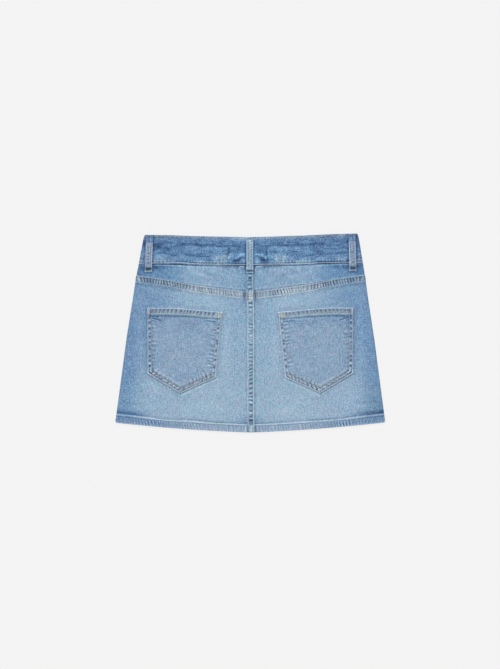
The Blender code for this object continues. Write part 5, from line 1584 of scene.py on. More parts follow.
def pocket_field(x, y):
    """Height above the panel, fade, greyness and tint of a back pocket."""
    side = np.sign(x)
    ax = np.abs(x)
    level = y - POCKET_SKEW * x
    (d_top, u_top, _), (d_in, u_in, _), (d_li, u_li, _), (d_lo, u_lo, _), (d_out, u_out, _) = pocket_edges(x, level)
    stack = np.stack([d_in, d_li, d_lo, d_out])
    which = stack.argmin(axis=0)
    d = np.take_along_axis(stack, which[None], 0)[0]
    u = np.choose(which, [u_in, u_li + 300, u_lo + 600, u_out + 900])
    low = (which == 1) | (which == 2)
    # the rows run round the two lowest side corners
    turn = bell(d_out - d_lo, 6.0) * smooth((20 - d_out) / 7) * smooth((14 - d) / 6)
    turn = turn + 0.6 * bell(d_in - d_li, 5.0) * smooth((20 - d_in) / 7) * smooth((14 - d) / 6)
    seed = 121 if side.flat[0] < 0 else 141

    # folded edge all round, pressed down along the two rows
    edge = 0.16 + (DENIM + GAP - 0.16) * np.sqrt(np.clip(1 - (1 - np.clip(d / 1.0, 0, 1)) ** 2, 0, 1))
    for row in POCKET_ROWS:
        edge = edge - 0.27 * bell(d - row, 0.8)
    edge = edge + 0.16 * bell(d - 4.1, 1.4)

    # the turned top, which stands a little off the panel
    mouth = 1 - smooth((d_top - POCKET_HEM + 4) / 6)
    sides_in = smooth(np.minimum(d_in, d_out) / 14)
    rise = 0.8 * mouth * (0.2 + 0.8 * sides_in)
    top_round = 0.5 * (1 - np.sqrt(np.clip(1 - (1 - np.clip(d_top / 0.7, 0, 1)) ** 2, 0, 1)))
    height = edge + rise - top_round
    side_away = np.minimum(d_in, d_out)
    height = height - 0.30 * bell(d_top - TOP_ROW, 0.9) * smooth((side_away - 1) / 3)

    # dots between the rows on the sides, a rope of puckers round the point; dips painted
    # darker as shade, rises paler as highlight
    outer_side = which == 3
    run = np.where(outer_side, POCKET_OUTER_TOP[1], POCKET_INNER_TOP[1]) - level
    wave = np.where(outer_side, lines(run, *[(at, 1.9, deep) for at, deep in OUTER_DOTS]), lines(run, *[(at, 1.9, deep) for at, deep in INNER_DOTS]))
    away_from_top = smooth((d_top - 17) / 4)
    under_tack = smooth((d_top - 8.5) / 3)
    dark = np.clip(wave, 0, 2) * bell(d - 4.0, 1.6 + 0.3 * outer_side) * ~low * under_tack
    light = np.clip(-wave, 0, 2) * bell(d - 3.9, 1.8 + 0.3 * outer_side) * ~low * under_tack
    height = height - 0.42 * dark + 0.10 * light
    rope = puckers(u + 0.85 * d, 7.6, seed + 3, 0.50) * (0.85 + 0.5 * wander(u, 15, seed + 19)) + 0.45 * puckers(u - 0.5 * d, 4.3, seed + 4, 0.4)
    band = smooth((d - 1.8) / 1.2) * (1 - smooth((d - 6.2) / 2.2)) * low
    height = height + 0.24 * rope * band
    # drags run in from the rows, their troughs painted darker as shade and crests paler as highlight
    drag = puckers(u + 0.12 * d, 6.9, seed + 5, 0.5) * (0.6 + 0.6 * wander(u, 13, seed + 6))
    drag_reach = bell(np.maximum(d - 9.5, 0), 6.0) * smooth((d - 6) / 2) * away_from_top
    height = height + 0.16 * drag * drag_reach

    hem_pull = puckers(u_top + 0.25 * d_top, 6.6, seed + 7, 0.45) + 0.4 * puckers(u_top, 3.8, seed + 8, 0.35)
    in_hem = smooth((d_top - 1.8) / 1.4) * (1 - smooth((d_top - TOP_ROW + 1.0) / 1.4)) * smooth((side_away - 5) / 3)
    height = height + 0.16 * hem_pull * in_hem

    # what the corners pull in, placed one by one
    sag, sag_tone = crease_field(x, level, POCKET_CREASES)
    mark_tone, mark_grey, mark_tint = mark_field(ax, level, POCKET_MARKS)
    height = height + sag + 0.10 * cloud(x, y, 19, seed + 9)

    upper = smooth((ax - 90) / 40)
    wash = 0.650 + patch_field(x, level, POCKET_FADES) - 0.05 * smooth((ax - 130) / 40)
    wash = wash + 0.030 * cloud(x, y, 12, seed + 10) + 0.034 * cloud(x, y, 5, seed + 11)
    wash = wash - (0.03 + 0.05 * upper) * bell(d_top - 20, 6)
    # the creases' painted shade and highlight, and the marks' tone
    shade_and_marks = 1.3 * sag_tone + 1.3 * mark_tone + 0.022 * cloud(x, y, 3.2, seed + 14)
    at_sides = ~low * away_from_top
    shade_and_marks = shade_and_marks + at_sides * lines(d, (0.5, 1.0, 0.25), (2.0, 1.0, -0.18), (7.1, 1.6, -0.08)) - 0.08 * outer_side * lines(d, (0.8, 1.4, 1.0), (6.4, 4.0, 0.8)) + at_sides * ~outer_side * lines(d, (0.0, 0.9, 0.07), (1.9, 1.0, -0.05), (4.5, 1.2, 0.03))
    shade_and_marks = shade_and_marks + low * lines(d, (0.2, 1.0, 0.50), (2.0, 1.1, -0.45), (4.8, 1.1, 0.05), (7.1, 2.1, -0.22), (11.2, 1.7, 0.04))
    shade_and_marks = shade_and_marks + (which == 2) * lines(d, (0.0, 0.9, 0.07), (1.8, 1.0, -0.13), (11.2, 1.7, 0.12)) + 0.05 * (which == 1) * bell(d - 3.8, 1.8)
    # painted shade in the dots' dips and the rope's troughs, painted highlight on the pale dots and crests
    shade_and_marks = shade_and_marks - (0.53 - 0.08 * outer_side) * (1 + 0.2 * wander(u, 13, seed + 18)) * dark + (0.34 - 0.02 * outer_side) * light
    shade_and_marks = shade_and_marks + ((0.42 + 0.20 * (which == 1)) * spiked(rope) + 0.06) * band
    # every few turns of the rope are paler or darker together
    shade_and_marks = shade_and_marks + 0.10 * wander(u, 9.0, seed + 16) * band
    shade_and_marks = shade_and_marks + (0.26 + 0.13 * ~low) * drag * drag_reach
    shade_and_marks = shade_and_marks + 0.36 * turn * np.cos(2 * np.pi * (d - 0.6) / 5.2) * (1 - smooth((d - 8.0) / 2.5))
    off_sides = smooth((side_away - 3) / 3)
    shade_and_marks = shade_and_marks + 0.34 * bell(d_top - 0.7, 0.9)
    shade_and_marks = shade_and_marks + off_sides * lines(d_top, (3.6, 2.0, -0.17), (7.4, 1.6, 0.0), (9.6, 1.3, 0.15)) - 0.09 * off_sides * upper * bell(d_top - 8.6, 2.0)
    # painted shade in the troughs of the turned top's puckers
    shade_and_marks = shade_and_marks + 0.40 * spiked(hem_pull) * bell(d_top - 4.2, 2.0) * off_sides + 0.06 * hem_pull * in_hem
    # painted shadow under the edge of the turned top
    dip = 12.6 + 1.3 * upper
    shade_and_marks = shade_and_marks - (0.30 + 0.12 * upper) * bell(d_top - dip, 1.5) * off_sides + 0.06 * bell(d_top - dip - 3.0, 1.2) * (1 - upper) * off_sides
    # faint folds that cross below the turned top, only as paler and darker streaks: painted shade and highlight without
    # relief
    shade_and_marks = shade_and_marks + 0.06 * cloud(x / 3.2, y, 3.4, seed + 15) * bell(d_top - 30, 22)
    shade_and_marks = shade_and_marks - 0.005
    grey = 0.40 + 0.10 * cloud(x, y, 15, seed + 12) + mark_grey + 0.50 * bell(d - 4.4, 3.2) * (0.5 + 0.9 * low)
    grey = grey + off_sides * lines(d_top, (2.4, 1.8, 0.35), (6.6, 2.8, 1.0)) - 0.30 * bell(d_top - 16, 3) + 0.55 * low * bell(d - 9.5, 3.4)
    tint = 0.25 - 0.45 * bell(d_top - TOP_ROW, 2.0) + 0.40 * cloud(x, y, 9, seed + 13) + mark_tint - 0.35 * bell(d_top - 16, 4)
    return looks(height, wash, grey, tint, shade_and_marks)


def build_pockets():
    share = (POCKET_POINT[0] - POCKET_INNER_LOW[0]) / (POCKET_OUTER_LOW[0] - POCKET_INNER_LOW[0])
    width = POCKET_OUTER_TOP[0] - POCKET_INNER_TOP[0]
    near = np.array([0, 0.12, 0.35, 0.7, 1.2, 1.8, 2.4, 3.0, 3.6, 4.2, 4.8, 5.4, 6.0, 6.6, 7.2, 8.0, 8.8, 9.7])

    left = near / width
    columns = np.concatenate([left, np.linspace(left[-1], share, 58)[1:], np.linspace(share, 1 - left[-1], 52)[1:], 1 - left[-2::-1]])
    height = POCKET_INNER_TOP[1] - POCKET_INNER_LOW[1] + 18
    top = np.concatenate([[0, 0.12, 0.35, 0.7], np.arange(1.2, 22, 0.72)]) / height
    low = 1 - (near / height)[::-1]
    rows = np.concatenate([top, np.linspace(top[-1], low[0], 110)[1:-1], low])

    C, R = np.meshgrid(columns, rows, indexing="ij")
    top_x = POCKET_INNER_TOP[0] + (POCKET_OUTER_TOP[0] - POCKET_INNER_TOP[0]) * C
    top_y = POCKET_INNER_TOP[1] + (POCKET_OUTER_TOP[1] - POCKET_INNER_TOP[1]) * C + POCKET_BOW * np.sin(np.pi * C**1.5)
    inward = C <= share
    a, b = C / share, (C - share) / (1 - share)
    low_x = np.where(inward, POCKET_INNER_LOW[0] + (POCKET_POINT[0] - POCKET_INNER_LOW[0]) * a, POCKET_POINT[0] + (POCKET_OUTER_LOW[0] - POCKET_POINT[0]) * b)
    low_y = np.where(inward, POCKET_INNER_LOW[1] + (POCKET_POINT[1] - POCKET_INNER_LOW[1]) * a, POCKET_POINT[1] + (POCKET_OUTER_LOW[1] - POCKET_POINT[1]) * b)
    for side, hand in ((-1, "left"), (1, "right")):
        x = side * (top_x + (low_x - top_x) * R)
        y = top_y + (low_y - top_y) * R + POCKET_SKEW * x
        z = pocket_ground(x, y)
        look = pocket_field(x, y)
        h = look.height
        wall_top = np.stack([x, y, z + h], -1)
        mouth = np.clip(h - DENIM, 0.10, None)
        wall_low = np.stack([x, y, z + np.minimum(mouth, h - 0.05)], -1)
        shell("cloth_pocket_" + hand, wall_top, wall_low, look, np.stack([x + 500, y], -1), [DENIM_WORN])


def pocket_ground(x, y):
    """Outer face of the panel under a pocket."""
    along = along_at(x, y)
    return body_levels(along, x)[1] + back_body(x, y, along).height


def loop_ground(loop, x, y):
    """Lower face of a belt loop."""
    along = along_at(x, y)
    upper, under = np.maximum(along, WAIST), np.minimum(along, WAIST)
    band = band_levels(upper, x)[1]
    cloth = body_levels(under, x)[1] + loop.over
    step = np.where(cloth > band, smooth((along - WAIST) / 6.0), smooth((along - WAIST + 8.0) / 7.0))
    return cloth + (band - cloth) * step + 0.15


LOOP_ROWS = 4.3


def loop_length(loop):
    return float(row_y(TOP, loop.x_top)) - 1.0 - loop.y_low


def loop_tack(loop):
    """Where the tack across the lower end lies, from the top."""
    return loop_length(loop) - (3.8 if abs(loop.x_top) < 50 else 5.2)


def loop_surface(loop, share, v):
    """Top and bottom points of a loop, share of the way down it and v across it."""
    x = loop.x_top + (loop.x_low - loop.x_top) * share + v
    top = row_y(TOP, loop.x_top)
    y = top - 1.0 + (loop.y_low - top + 1.0) * share
    y = y + 0 * v
    arch = LOOP_ARCH * smooth(share / 0.3) * smooth((0.8 - share) / 0.25)
    half = LOOP_WIDTH / 2
    across = np.clip(np.abs(v) / half, 0, 1)
    thick = 0.25 + (LOOP_WALL - 0.25) * (1 - across**6) ** 0.5
    thick = thick - 0.26 * bell(np.abs(v) - LOOP_ROWS, 0.8) + 0.10 * bell(np.abs(v) - 5.3, 0.6)
    length = loop_length(loop)
    run = share * length
    thick = thick - 0.50 * bell(run - loop_tack(loop), 1.8) - 0.15 * bell(run - 3.0, 1.6)
    end = np.minimum(run, length - run)
    thick = thick * (0.25 + 0.75 * np.sqrt(np.clip(1 - (1 - np.clip(end / 0.9, 0, 1)) ** 2, 0, 1)))
    rub = puckers(run + 0.3 * v, 4.6, 161 + len(loop.name) + int(abs(loop.x_top)), 0.35)
    thick = thick + 0.07 * rub
    if loop.face > 0:
        base = loop_ground(loop, x, y) + arch
        outer, inner = base + thick, base
    else:
        outer, inner = LOOP_WALL - thick, np.full_like(x, LOOP_WALL)
    return np.stack([x, y, outer], -1), np.stack([x, y, inner], -1), rub, run


# Marks on the loops: x is the distance across from the middle, y down from the top.
SIDE_LOOP_MARKS = [
    Mark(-0.6, 30.0, 1.3, 1.5, -0.28, -0.4, 0.0),
    Mark(-0.6, 36.6, 1.3, 1.4, -0.25, -0.4, 0.0),
    Mark(-0.8, 41.0, 1.2, 1.2, -0.26, -0.4, 0.0),
    Mark(-0.7, 47.2, 1.3, 1.5, -0.28, -0.4, 0.0),
    Mark(3.1, 33.0, 0.75, 16.0, -0.16, 0.0, 0.0),
    Mark(-1.6, 22.0, 1.0, 4.6, -0.10, 0.3, -1.4),
    Mark(-4.4, 34.0, 1.2, 24.0, 0.0, 0.0, 0.0),
    Mark(5.0, 36.0, 1.2, 22.0, 0.13, 0.0, 0.0),
    Mark(-3.2, 7.0, 0.9, 6.0, 0.10, 0.0, 0.0),
    Mark(2.0, 7.0, 0.7, 5.0, 0.14, 0.0, 0.0),
    Mark(-0.4, 6.0, 0.8, 6.0, -0.14, 0.0, 0.0),
    Mark(4.6, 6.0, 0.8, 6.5, -0.18, 0.0, 0.0),
    Mark(1.2, 26.0, 1.6, 2.2, 0.10, 0.0, 0.2),
    Mark(1.0, 43.6, 1.4, 1.6, 0.10, 0.0, 0.2),
    Mark(1.4, 51.6, 2.8, 1.4, 0.10, 0.0, 0.2),
]
CENTRE_LOOP_MARKS = [
    Mark(-4.8, 30.0, 0.9, 26.0, 0.07, 0.0, -0.2),
    Mark(4.6, 30.0, 1.1, 26.0, 0.09, 0.0, 0.1),
    Mark(2.7, 28.0, 0.75, 24.0, -0.18, 0.0, 0.0),
    Mark(-2.4, 9.0, 1.1, 3.0, -0.16, 0.4, 0.0),
    Mark(-2.5, 18.0, 1.0, 2.6, -0.14, 0.4, 0.0),
    Mark(-2.2, 27.0, 1.1, 3.2, -0.16, 0.4, 0.2),
    Mark(-2.6, 37.0, 1.0, 2.8, -0.15, 0.4, 0.0),
    Mark(-2.2, 47.0, 1.1, 2.6, -0.16, 0.4, 0.0),
    Mark(0.4, 30.0, 0.9, 24.0, 0.09, 0.0, 0.0),
    Mark(0.2, 2.2, 4.6, 1.2, -0.05, 0.3, 0.0),
]


def loop_look(loop, share, v):
    outer, inner, rub, run = loop_surface(loop, share, v)
    side_loop = abs(loop.x_top) > 100 or loop.face < 0
    v_marks = v if loop.x_top < 0 or not side_loop else -v
    tone, grey, tint = mark_field(v_marks, run, SIDE_LOOP_MARKS if side_loop else CENTRE_LOOP_MARKS)
    upper = 1 - smooth((run - 11) / 3) if side_loop else np.zeros_like(v)
    wash = 0.67 - 0.30 * upper
    edge = np.abs(v)
    shade_and_marks = 0.08 * rub + (0.09 if side_loop else 0.05) * cloud(v, run, 2.6, 171 + int(abs(loop.x_top))) + (1.5 if side_loop else 1.25) * tone
    shade_and_marks = shade_and_marks + lines(edge, (5.0, 0.9, 0.08), (6.1, 0.6, -0.08), (3.3, 0.9, -0.10 if side_loop else -0.02))
    tack = loop_tack(loop)
    # the cloth is painted darker round the tack, where the loop is pressed in: painted shade
    shade_and_marks = shade_and_marks - (0.40 if side_loop else 0.58) * bell(run - tack + (0.7 if side_loop else -0.3), 3.4 if side_loop else 1.6) + (0.14 if side_loop else 0.20) * bell(run - loop_length(loop) + 0.7, 0.8)
    shade_and_marks = shade_and_marks + (0.0 if side_loop else 0.12) * bell(run - tack + 4.2, 1.2) + 0.17 * bell(edge - 5.5, 1.1) * smooth((run - tack + 7) / 4)
    if side_loop:
        shade_and_marks = shade_and_marks - 0.09 * bell(v, 4.2) * smooth((run - tack + 5) / 3) + 0.12 * upper * bell(v, 2.4) - 0.05 * upper * smooth((1.5 - v_marks) / 3)
    else:
        shade_and_marks = shade_and_marks + 0.09 * bell(v - 1.2, 1.6) * (1 - smooth((run - 18) / 6)) + 0.10 * smooth((run - tack + 1) / 2) * bell(v - 3.4, 2.4)
    shade_and_marks = shade_and_marks - (0.02 if side_loop else 0.01)
    if not side_loop:
        shade_and_marks = shade_and_marks + 0.12 * bell(run - 6, 5) * (edge < 2.2)
    grey = grey + (0.72 if side_loop else 0.66) - (0.85 - 0.75 * smooth((1.5 - v_marks) / 3)) * upper - (0.45 * bell(edge - 5.2, 1.0) + 0.4 * bell(edge - 6.2, 0.8)) * (1 - upper)
    tint = tint + (0.55 * (1 - upper) if side_loop else -0.1 - 0.8 * bell(edge - 5.2, 1.4)) - 1.0 * bell(run - tack, 2.4)
    return outer, inner, looks(rub, wash, grey, tint, shade_and_marks), run


def build_loops():
    v = np.concatenate([[-6.1, -6.03, -5.85, -5.55], np.linspace(-5.1, 5.1, 18), [5.55, 5.85, 6.03, 6.1]])
    share = np.concatenate([[0, 0.003, 0.008, 0.014], np.arange(0.024, 0.976, 0.0105), [0.986, 0.992, 0.997, 1.0]])
    V, S = np.meshgrid(v, share, indexing="ij")
    for loop in LOOPS:
        outer, inner, look, run = loop_look(loop, S, V)
        shell("cloth_" + loop.name, outer, inner, look, np.stack([V + 40 * len(loop.name), run], -1), [DENIM_WORN])


# ================================================================ thread
GREY_THREAD = (203, 210, 213)
PALE_THREAD = (208, 213, 212)
CREAM_THREAD = (226, 223, 208)
OLIVE_THREAD = (88, 101, 108)
threads = {}


def stitches(group, curve, length, colour, stitch=3.2, gap=0.7, radius=0.36, arch=0.34, sink=0.16, seed=1, start=0.0, sides=5, stations=5):
    """A row of stitches along curve(run, out), which gives points in mm; out is the
    distance off the cloth."""
    count = max(1, int(round((length - start) / stitch)))
    step = (length - start) / count
    rng = np.random.default_rng(seed)
    first = start + step * np.arange(count) + rng.uniform(-0.12, 0.12, count)
    span = step - gap + rng.uniform(-0.15, 0.15, count)
    t = np.linspace(0, 1, stations)
    run = first[:, None] + span[:, None] * t[None, :]
    run = np.clip(run, 0, length)
    out = -sink + (arch + sink) * np.sin(np.pi * np.clip(t, 0.0, 1.0)) ** 0.7
    out = np.broadcast_to(out, run.shape) + rng.uniform(-0.04, 0.04, (count, 1))
    thick = radius * (0.62 + 0.38 * np.sin(np.pi * t) ** 0.5)
    tubes(group, curve, run, out, np.broadcast_to(thick, run.shape), colour, rng, sides)


def tubes(group, curve, run, out, thick, colour, rng, sides=5):
    count, stations = run.shape
    middle = curve(run, out)
    ahead = curve(run + 0.05, out) - curve(run - 0.05, out)
    ahead /= np.linalg.norm(ahead, axis=-1, keepdims=True) + 1e-12
    normal = curve(run, out + 0.1) - middle
    normal /= np.linalg.norm(normal, axis=-1, keepdims=True) + 1e-12
    beside = np.cross(ahead, normal)
    angle = 2 * np.pi * np.arange(sides) / sides
    ring = middle[:, :, None, :] + thick[:, :, None, None] * (
        np.cos(angle)[None, None, :, None] * beside[:, :, None, :] + np.sin(angle)[None, None, :, None] * normal[:, :, None, :]
    )
    verts = ring.reshape(-1, 3)
    base = (np.arange(count) * stations * sides)[:, None, None]
    s = (np.arange(stations - 1) * sides)[None, :, None]
    k = np.arange(sides)[None, None, :]
    a, b = base + s + k, base + s + (k + 1) % sides
    quads = np.stack([a, b, b + sides, a + sides], -1).reshape(-1, 4)
    first = (base[:, 0, 0])[:, None] + np.arange(sides)[None, ::-1]
    last = (base[:, 0, 0] + (stations - 1) * sides)[:, None] + np.arange(sides)[None, :]
    shade = np.array(rgb(*colour)[:3])[None, :] * (1 + rng.uniform(-0.10, 0.08, (count, 1)))
    dye = np.repeat(shade, stations * sides, axis=0)
    twist = np.stack(
        [np.broadcast_to(run[:, :, None], ring.shape[:3]), np.broadcast_to(angle[None, None, :] * 0.35, ring.shape[:3]), np.broadcast_to(np.arange(count)[:, None, None] * 3.7, ring.shape[:3])], -1
    ).reshape(-1, 3) * 0.001
    store = threads.setdefault(group, {"v": [], "q": [], "c": [], "dye": [], "twist": [], "n": 0})
    n = store["n"]
    store["v"].append(verts)
    store["q"].append(quads + n)
    store["c"].append(np.concatenate([first, last]) + n)
    store["dye"].append(dye)
    store["twist"].append(twist)
    store["n"] += len(verts)


def build_threads():
    for group, store in threads.items():
        verts = np.concatenate(store["v"])
        quads = np.concatenate(store["q"])
        caps = np.concatenate(store["c"])
        mesh = bpy.data.meshes.new(group)
        mesh.vertices.add(len(verts))
        mesh.vertices.foreach_set("co", (verts * 0.001).astype(np.float32).ravel())
        loops = np.concatenate([quads.ravel(), caps.ravel()]).astype(np.int32)
        starts = np.concatenate([np.arange(len(quads)) * 4, len(quads) * 4 + np.arange(len(caps)) * caps.shape[1]]).astype(np.int32)
        mesh.loops.add(len(loops))
        mesh.loops.foreach_set("vertex_index", loops)
        mesh.polygons.add(len(quads) + len(caps))
        mesh.polygons.foreach_set("loop_start", starts)
        mesh.update(calc_edges=True)
        mesh.validate()
        mesh.shade_smooth()
        mesh.materials.append(THREAD)
        set_attribute(mesh, "dye", np.concatenate(store["dye"]))
        set_attribute(mesh, "twist", np.concatenate(store["twist"]))
        ob = bpy.data.objects.new(group, mesh)
        bpy.context.scene.collection.objects.link(ob)
        made[group] = ob


def reach_across(levels, along, share):
    """Distance from the centre to a share of the way round the side fold."""
    front, _, back = levels(np.array(along), 0.0)
    radius = float(back - front) / 2
    return float(half_width(np.array(along))) - radius + radius * math.pi / 2 * share


def cross_row(levels, face, along, field):
    """A row that crosses the garment; run starts at the left side seam and along is
    its height, a number or a function of the place across."""
    height = along if callable(along) else lambda q: np.full_like(q, along)
    reach = reach_across(levels, float(height(np.array([0.0]))[0]), 0.93)

    def curve(run, out):
        q = run - reach
        L = height(q)
        a = across_of(levels, q, L)
        base = place(levels, face, a, L, 0.0)
        return place(levels, face, a, L, field(base[..., 0], base[..., 1], L).height + out)

    return curve, 2 * reach


def polyline(points, ground, up=1):
    """A row along straight stretches in plan, on ground(x, y)."""
    pts = np.array(points, float)
    seg = np.hypot(*np.diff(pts, axis=0).T)
    at = np.concatenate([[0], np.cumsum(seg)])

    def curve(run, out):
        x = np.interp(run, at, pts[:, 0])
        y = np.interp(run, at, pts[:, 1])
        # keep the direction past the ends
        before, after = run < 0, run > at[-1]
        d0, d1 = (pts[1] - pts[0]) / seg[0], (pts[-1] - pts[-2]) / seg[-1]
        x = np.where(before, pts[0, 0] + run * d0[0], np.where(after, pts[-1, 0] + (run - at[-1]) * d1[0], x))
        y = np.where(before, pts[0, 1] + run * d0[1], np.where(after, pts[-1, 1] + (run - at[-1]) * d1[1], y))
        return np.stack([x, y, ground(x, y) + up * out], -1)

    return curve, float(at[-1])


def bartack(group, centre, width, length, ground, colour, turn=0.0, pitch=0.55, radius=0.34, up=1, seed=5):
    """A dense zigzag block: width across the zigzag, length along the block."""
    c, s = math.cos(turn), math.sin(turn)
    rows = int(length / pitch)
    for k in range(rows):
        v = -length / 2 + (k + 0.5) * length / rows
        slant = 0.35 * pitch * (1 if k % 2 else -1)
        a, b = (-width / 2, v - slant), (width / 2, v + slant)
        pts = [(centre[0] + c * p[0] - s * p[1], centre[1] + s * p[0] + c * p[1]) for p in (a, b)]
        curve, total = polyline(pts, ground, up)
        stitches(group, curve, total, colour, stitch=total, gap=0.0, radius=radius, arch=0.42, sink=0.05, seed=seed + k, stations=6)


def sew():
    # waistband: one pale row just over the waist seam, and what shows of its turned edge
    curve, total = cross_row(band_levels, 1, lambda q: WAIST + waist_row(q), back_band)
    stitches("thread_waist", curve, total, (206, 211, 216), stitch=4.0, gap=0.35, radius=0.46, arch=0.32, seed=11)
    # a few stitches of the seam itself beside the centre loop
    for start, end, up in ((-18.0, -9.6, 112.6), (10.0, 19.0, 112.8)):
        curve, total = polyline([(start, up), (end, up)], lambda x, y: body_levels(along_at(x, y), x)[1] + back_body(x, y, along_at(x, y)).height)
        stitches("thread_waist", curve, total, (222, 226, 226), stitch=4.2, radius=0.42, arch=0.34, seed=13)

    # yoke laps: two rows each side of the centre
    for side in (-1, 1):
        start = side * (float(centre_seam(YOKE)) - float(lean(YOKE))) + CENTRE_FELL_WIDTH / 2 + GAP + 0.3
        for v in (-YOKE_ROWS, YOKE_ROWS):
            total = reach_across(body_levels, YOKE, 0.85) - start

            def curve(run, out, side=side, v=v, start=start):
                q = side * (run + start)
                a = across_of(body_levels, q, np.full_like(q, YOKE))
                seam = place(body_levels, 1, a, np.full_like(q, YOKE), 0.0)
                L = along_at(seam[..., 0], seam[..., 1] + v)
                base = place(body_levels, 1, a, L, 0.0)
                relief = back_body(base[..., 0], base[..., 1], L).height
                height = yoke_lap(arc(body_levels, a, L), np.full_like(q, v)).height
                return place(body_levels, 1, a, L, relief + height + out)

            stitches("thread_yoke", curve, total, PALE_THREAD, radius=0.42, arch=0.40, seed=21 + side + int(v))

    # centre back lap
    for v, colour in ((-CENTRE_ROWS, (186, 196, 196)), (CENTRE_ROWS, (220, 223, 214))):

        def curve(run, out, v=v):
            L = WAIST - 1.0 - run
            x = centre_seam(L) + v
            y = row_y(L, x)
            relief = back_body(x, y, L).height * smooth((L - HEM) / 3)
            height = centre_lap(L, np.full_like(run, v), x, y).height
            return np.stack([x, y, body_levels(L, x)[1] + relief + height + out], -1)

        stitches("thread_centre", curve, WAIST - EDGE - 3.0, colour, radius=0.42, arch=0.40, seed=31 + int(v))

    # hem: one row on the panels, over the end of the turning
    for side in (-1, 1):
        start = side * float(centre_seam(HEM)) + CENTRE_FELL_WIDTH / 2 + 0.3
        total = reach_across(body_levels, HEM + 2.8, 0.93) - start

        def curve(run, out, side=side, start=start):
            q = side * (run + start)
            L = HEM + hem_row(q)
            a = across_of(body_levels, q, L)
            base = place(body_levels, 1, a, L, 0.0)
            return place(body_levels, 1, a, L, back_body(base[..., 0], base[..., 1], L).height + out)

        stitches("thread_hem_back", curve, total, (212, 220, 224), radius=0.48, arch=0.42, seed=41 + side)
    curve, total = cross_row(body_levels, -1, HEM + 2.0, front_body)
    flat_front(curve, "thread_hem_front", total, (196, 206, 212), 45)

    sew_pockets()
    sew_loops()
    sew_front()


def flat_front(curve, group, total, colour, seed, start=0.0):
    """Rows on the resting face lie in the cloth, no lower than it."""
    stitches(group, curve, total, colour, radius=0.30, arch=-0.28, sink=0.45, seed=seed, start=start, sides=4, stations=4)


def offset_corner(a, b, c, d):
    """The corner at b of the path a-b-c, moved in by d (inside on the left)."""
    a, b, c = (np.array(p, float) for p in (a, b, c))
    e, f = (b - a) / np.linalg.norm(b - a), (c - b) / np.linalg.norm(c - b)
    n, m = np.array([-e[1], e[0]]), np.array([-f[1], f[0]])
    k = (n + m) / (1 + n @ m)
    return b + d * k


def sew_pockets():
    corners = [POCKET_OUTER_TOP, POCKET_INNER_TOP, POCKET_INNER_LOW, POCKET_POINT, POCKET_OUTER_LOW]
    for side, hand in ((-1, "left"), (1, "right")):
        group = "thread_pocket_" + hand

        def ground(x, y):
            return pocket_ground(x, y) + pocket_field(x, y).height

        def world(points):
            return [(side * x, y + POCKET_SKEW * side * x) for x, y in points]

        for k, d in enumerate(POCKET_ROWS):
            path = [offset_corner(corners[i - 1], corners[i], corners[(i + 1) % 5], d) for i in (1, 2, 3, 4, 5 % 5)]
            curve, total = polyline(world(path), ground)
            colour = PALE_THREAD if k == 0 else (196, 204, 205)
            stitches(group, curve, total, colour, radius=0.40, arch=0.38, seed=51 + k + 7 * (side > 0))
        points = []
        for s in np.linspace(0.012, 0.988, 24):
            x = POCKET_INNER_TOP[0] + (POCKET_OUTER_TOP[0] - POCKET_INNER_TOP[0]) * s
            y = POCKET_INNER_TOP[1] + (POCKET_OUTER_TOP[1] - POCKET_INNER_TOP[1]) * s + POCKET_BOW * math.sin(math.pi * s**1.5)
            points.append((x, y - TOP_ROW))
        curve, total = polyline(world(points), ground)
        stitches(group, curve, total, (206, 214, 208), radius=0.40, arch=0.38, seed=61 + (side > 0))

        # tacks: a wide block at the inner corner, a narrow one at the outer
        for x, y, wide, long, colours in (
            (52.0, 30.6, 7.2, 9.0, ((224, 224, 208), (206, 206, 202))),
            (172.6, 37.6, 4.6, 10.4, ((222, 216, 216), (188, 202, 198))),
        ):
            for half, colour in zip((-1, 1), colours):
                centre = world([(x - half * wide / 4, y)])[0]
                bartack("bartacks_pocket", centre, wide / 2 - 0.5, long, ground, colour, pitch=0.8, radius=0.38, seed=71 + half + int(x) + 9 * (side > 0))


def sew_loops():
    for loop in LOOPS:
        group = "thread_loops" if loop.face > 0 else "thread_loops_front"
        up = 1 if loop.face > 0 else -1
        length = loop_length(loop)
        side_loop = abs(loop.x_top) > 50

        def surface(run, out, v, loop=loop, up=up, length=length):
            outer = loop_surface(loop, run / length, v)[0]
            outer[..., 2] += up * out
            return outer

        end = loop_tack(loop) - 1.6
        for v in (-LOOP_ROWS, LOOP_ROWS):
            if loop.face > 0:
                stitches(group, lambda run, out, v=v: surface(run, out, np.full_like(run, v)), end, (198, 204, 208), radius=0.34, arch=0.32, seed=81 + int(v) + int(abs(loop.x_top)), start=1.5)
            else:
                stitches(group, lambda run, out, v=v: surface(run, out, np.full_like(run, v)), end, (190, 196, 202), radius=0.28, arch=-0.26, sink=0.42, seed=81 + int(v), start=1.5, sides=4, stations=4)
        # the tack across the lower end, and the plain one at the top
        for run_at, colour, long, rows in ((loop_tack(loop), OLIVE_THREAD, 4.6 if side_loop else 2.6, 7 if side_loop else 4), (2.4, (126, 142, 166), 1.6, 3)):
            for k in range(rows):
                at = run_at + (k - (rows - 1) / 2) * long / rows

                def across(run, out, at=at):
                    v = run - 4.7
                    return surface(np.full_like(v, at) + 0.22 * np.sin(run * 9), out, v)

                if loop.face > 0:
                    stitches("bartacks_loops", across, 9.4, colour, stitch=1.55, gap=0.1, radius=0.32, arch=0.30, sink=0.05, seed=91 + k)
                else:
                    stitches("thread_loops_front", across, 9.4, colour, stitch=1.8, gap=0.2, radius=0.26, arch=-0.24, sink=0.36, seed=91 + k, sides=4, stations=4)


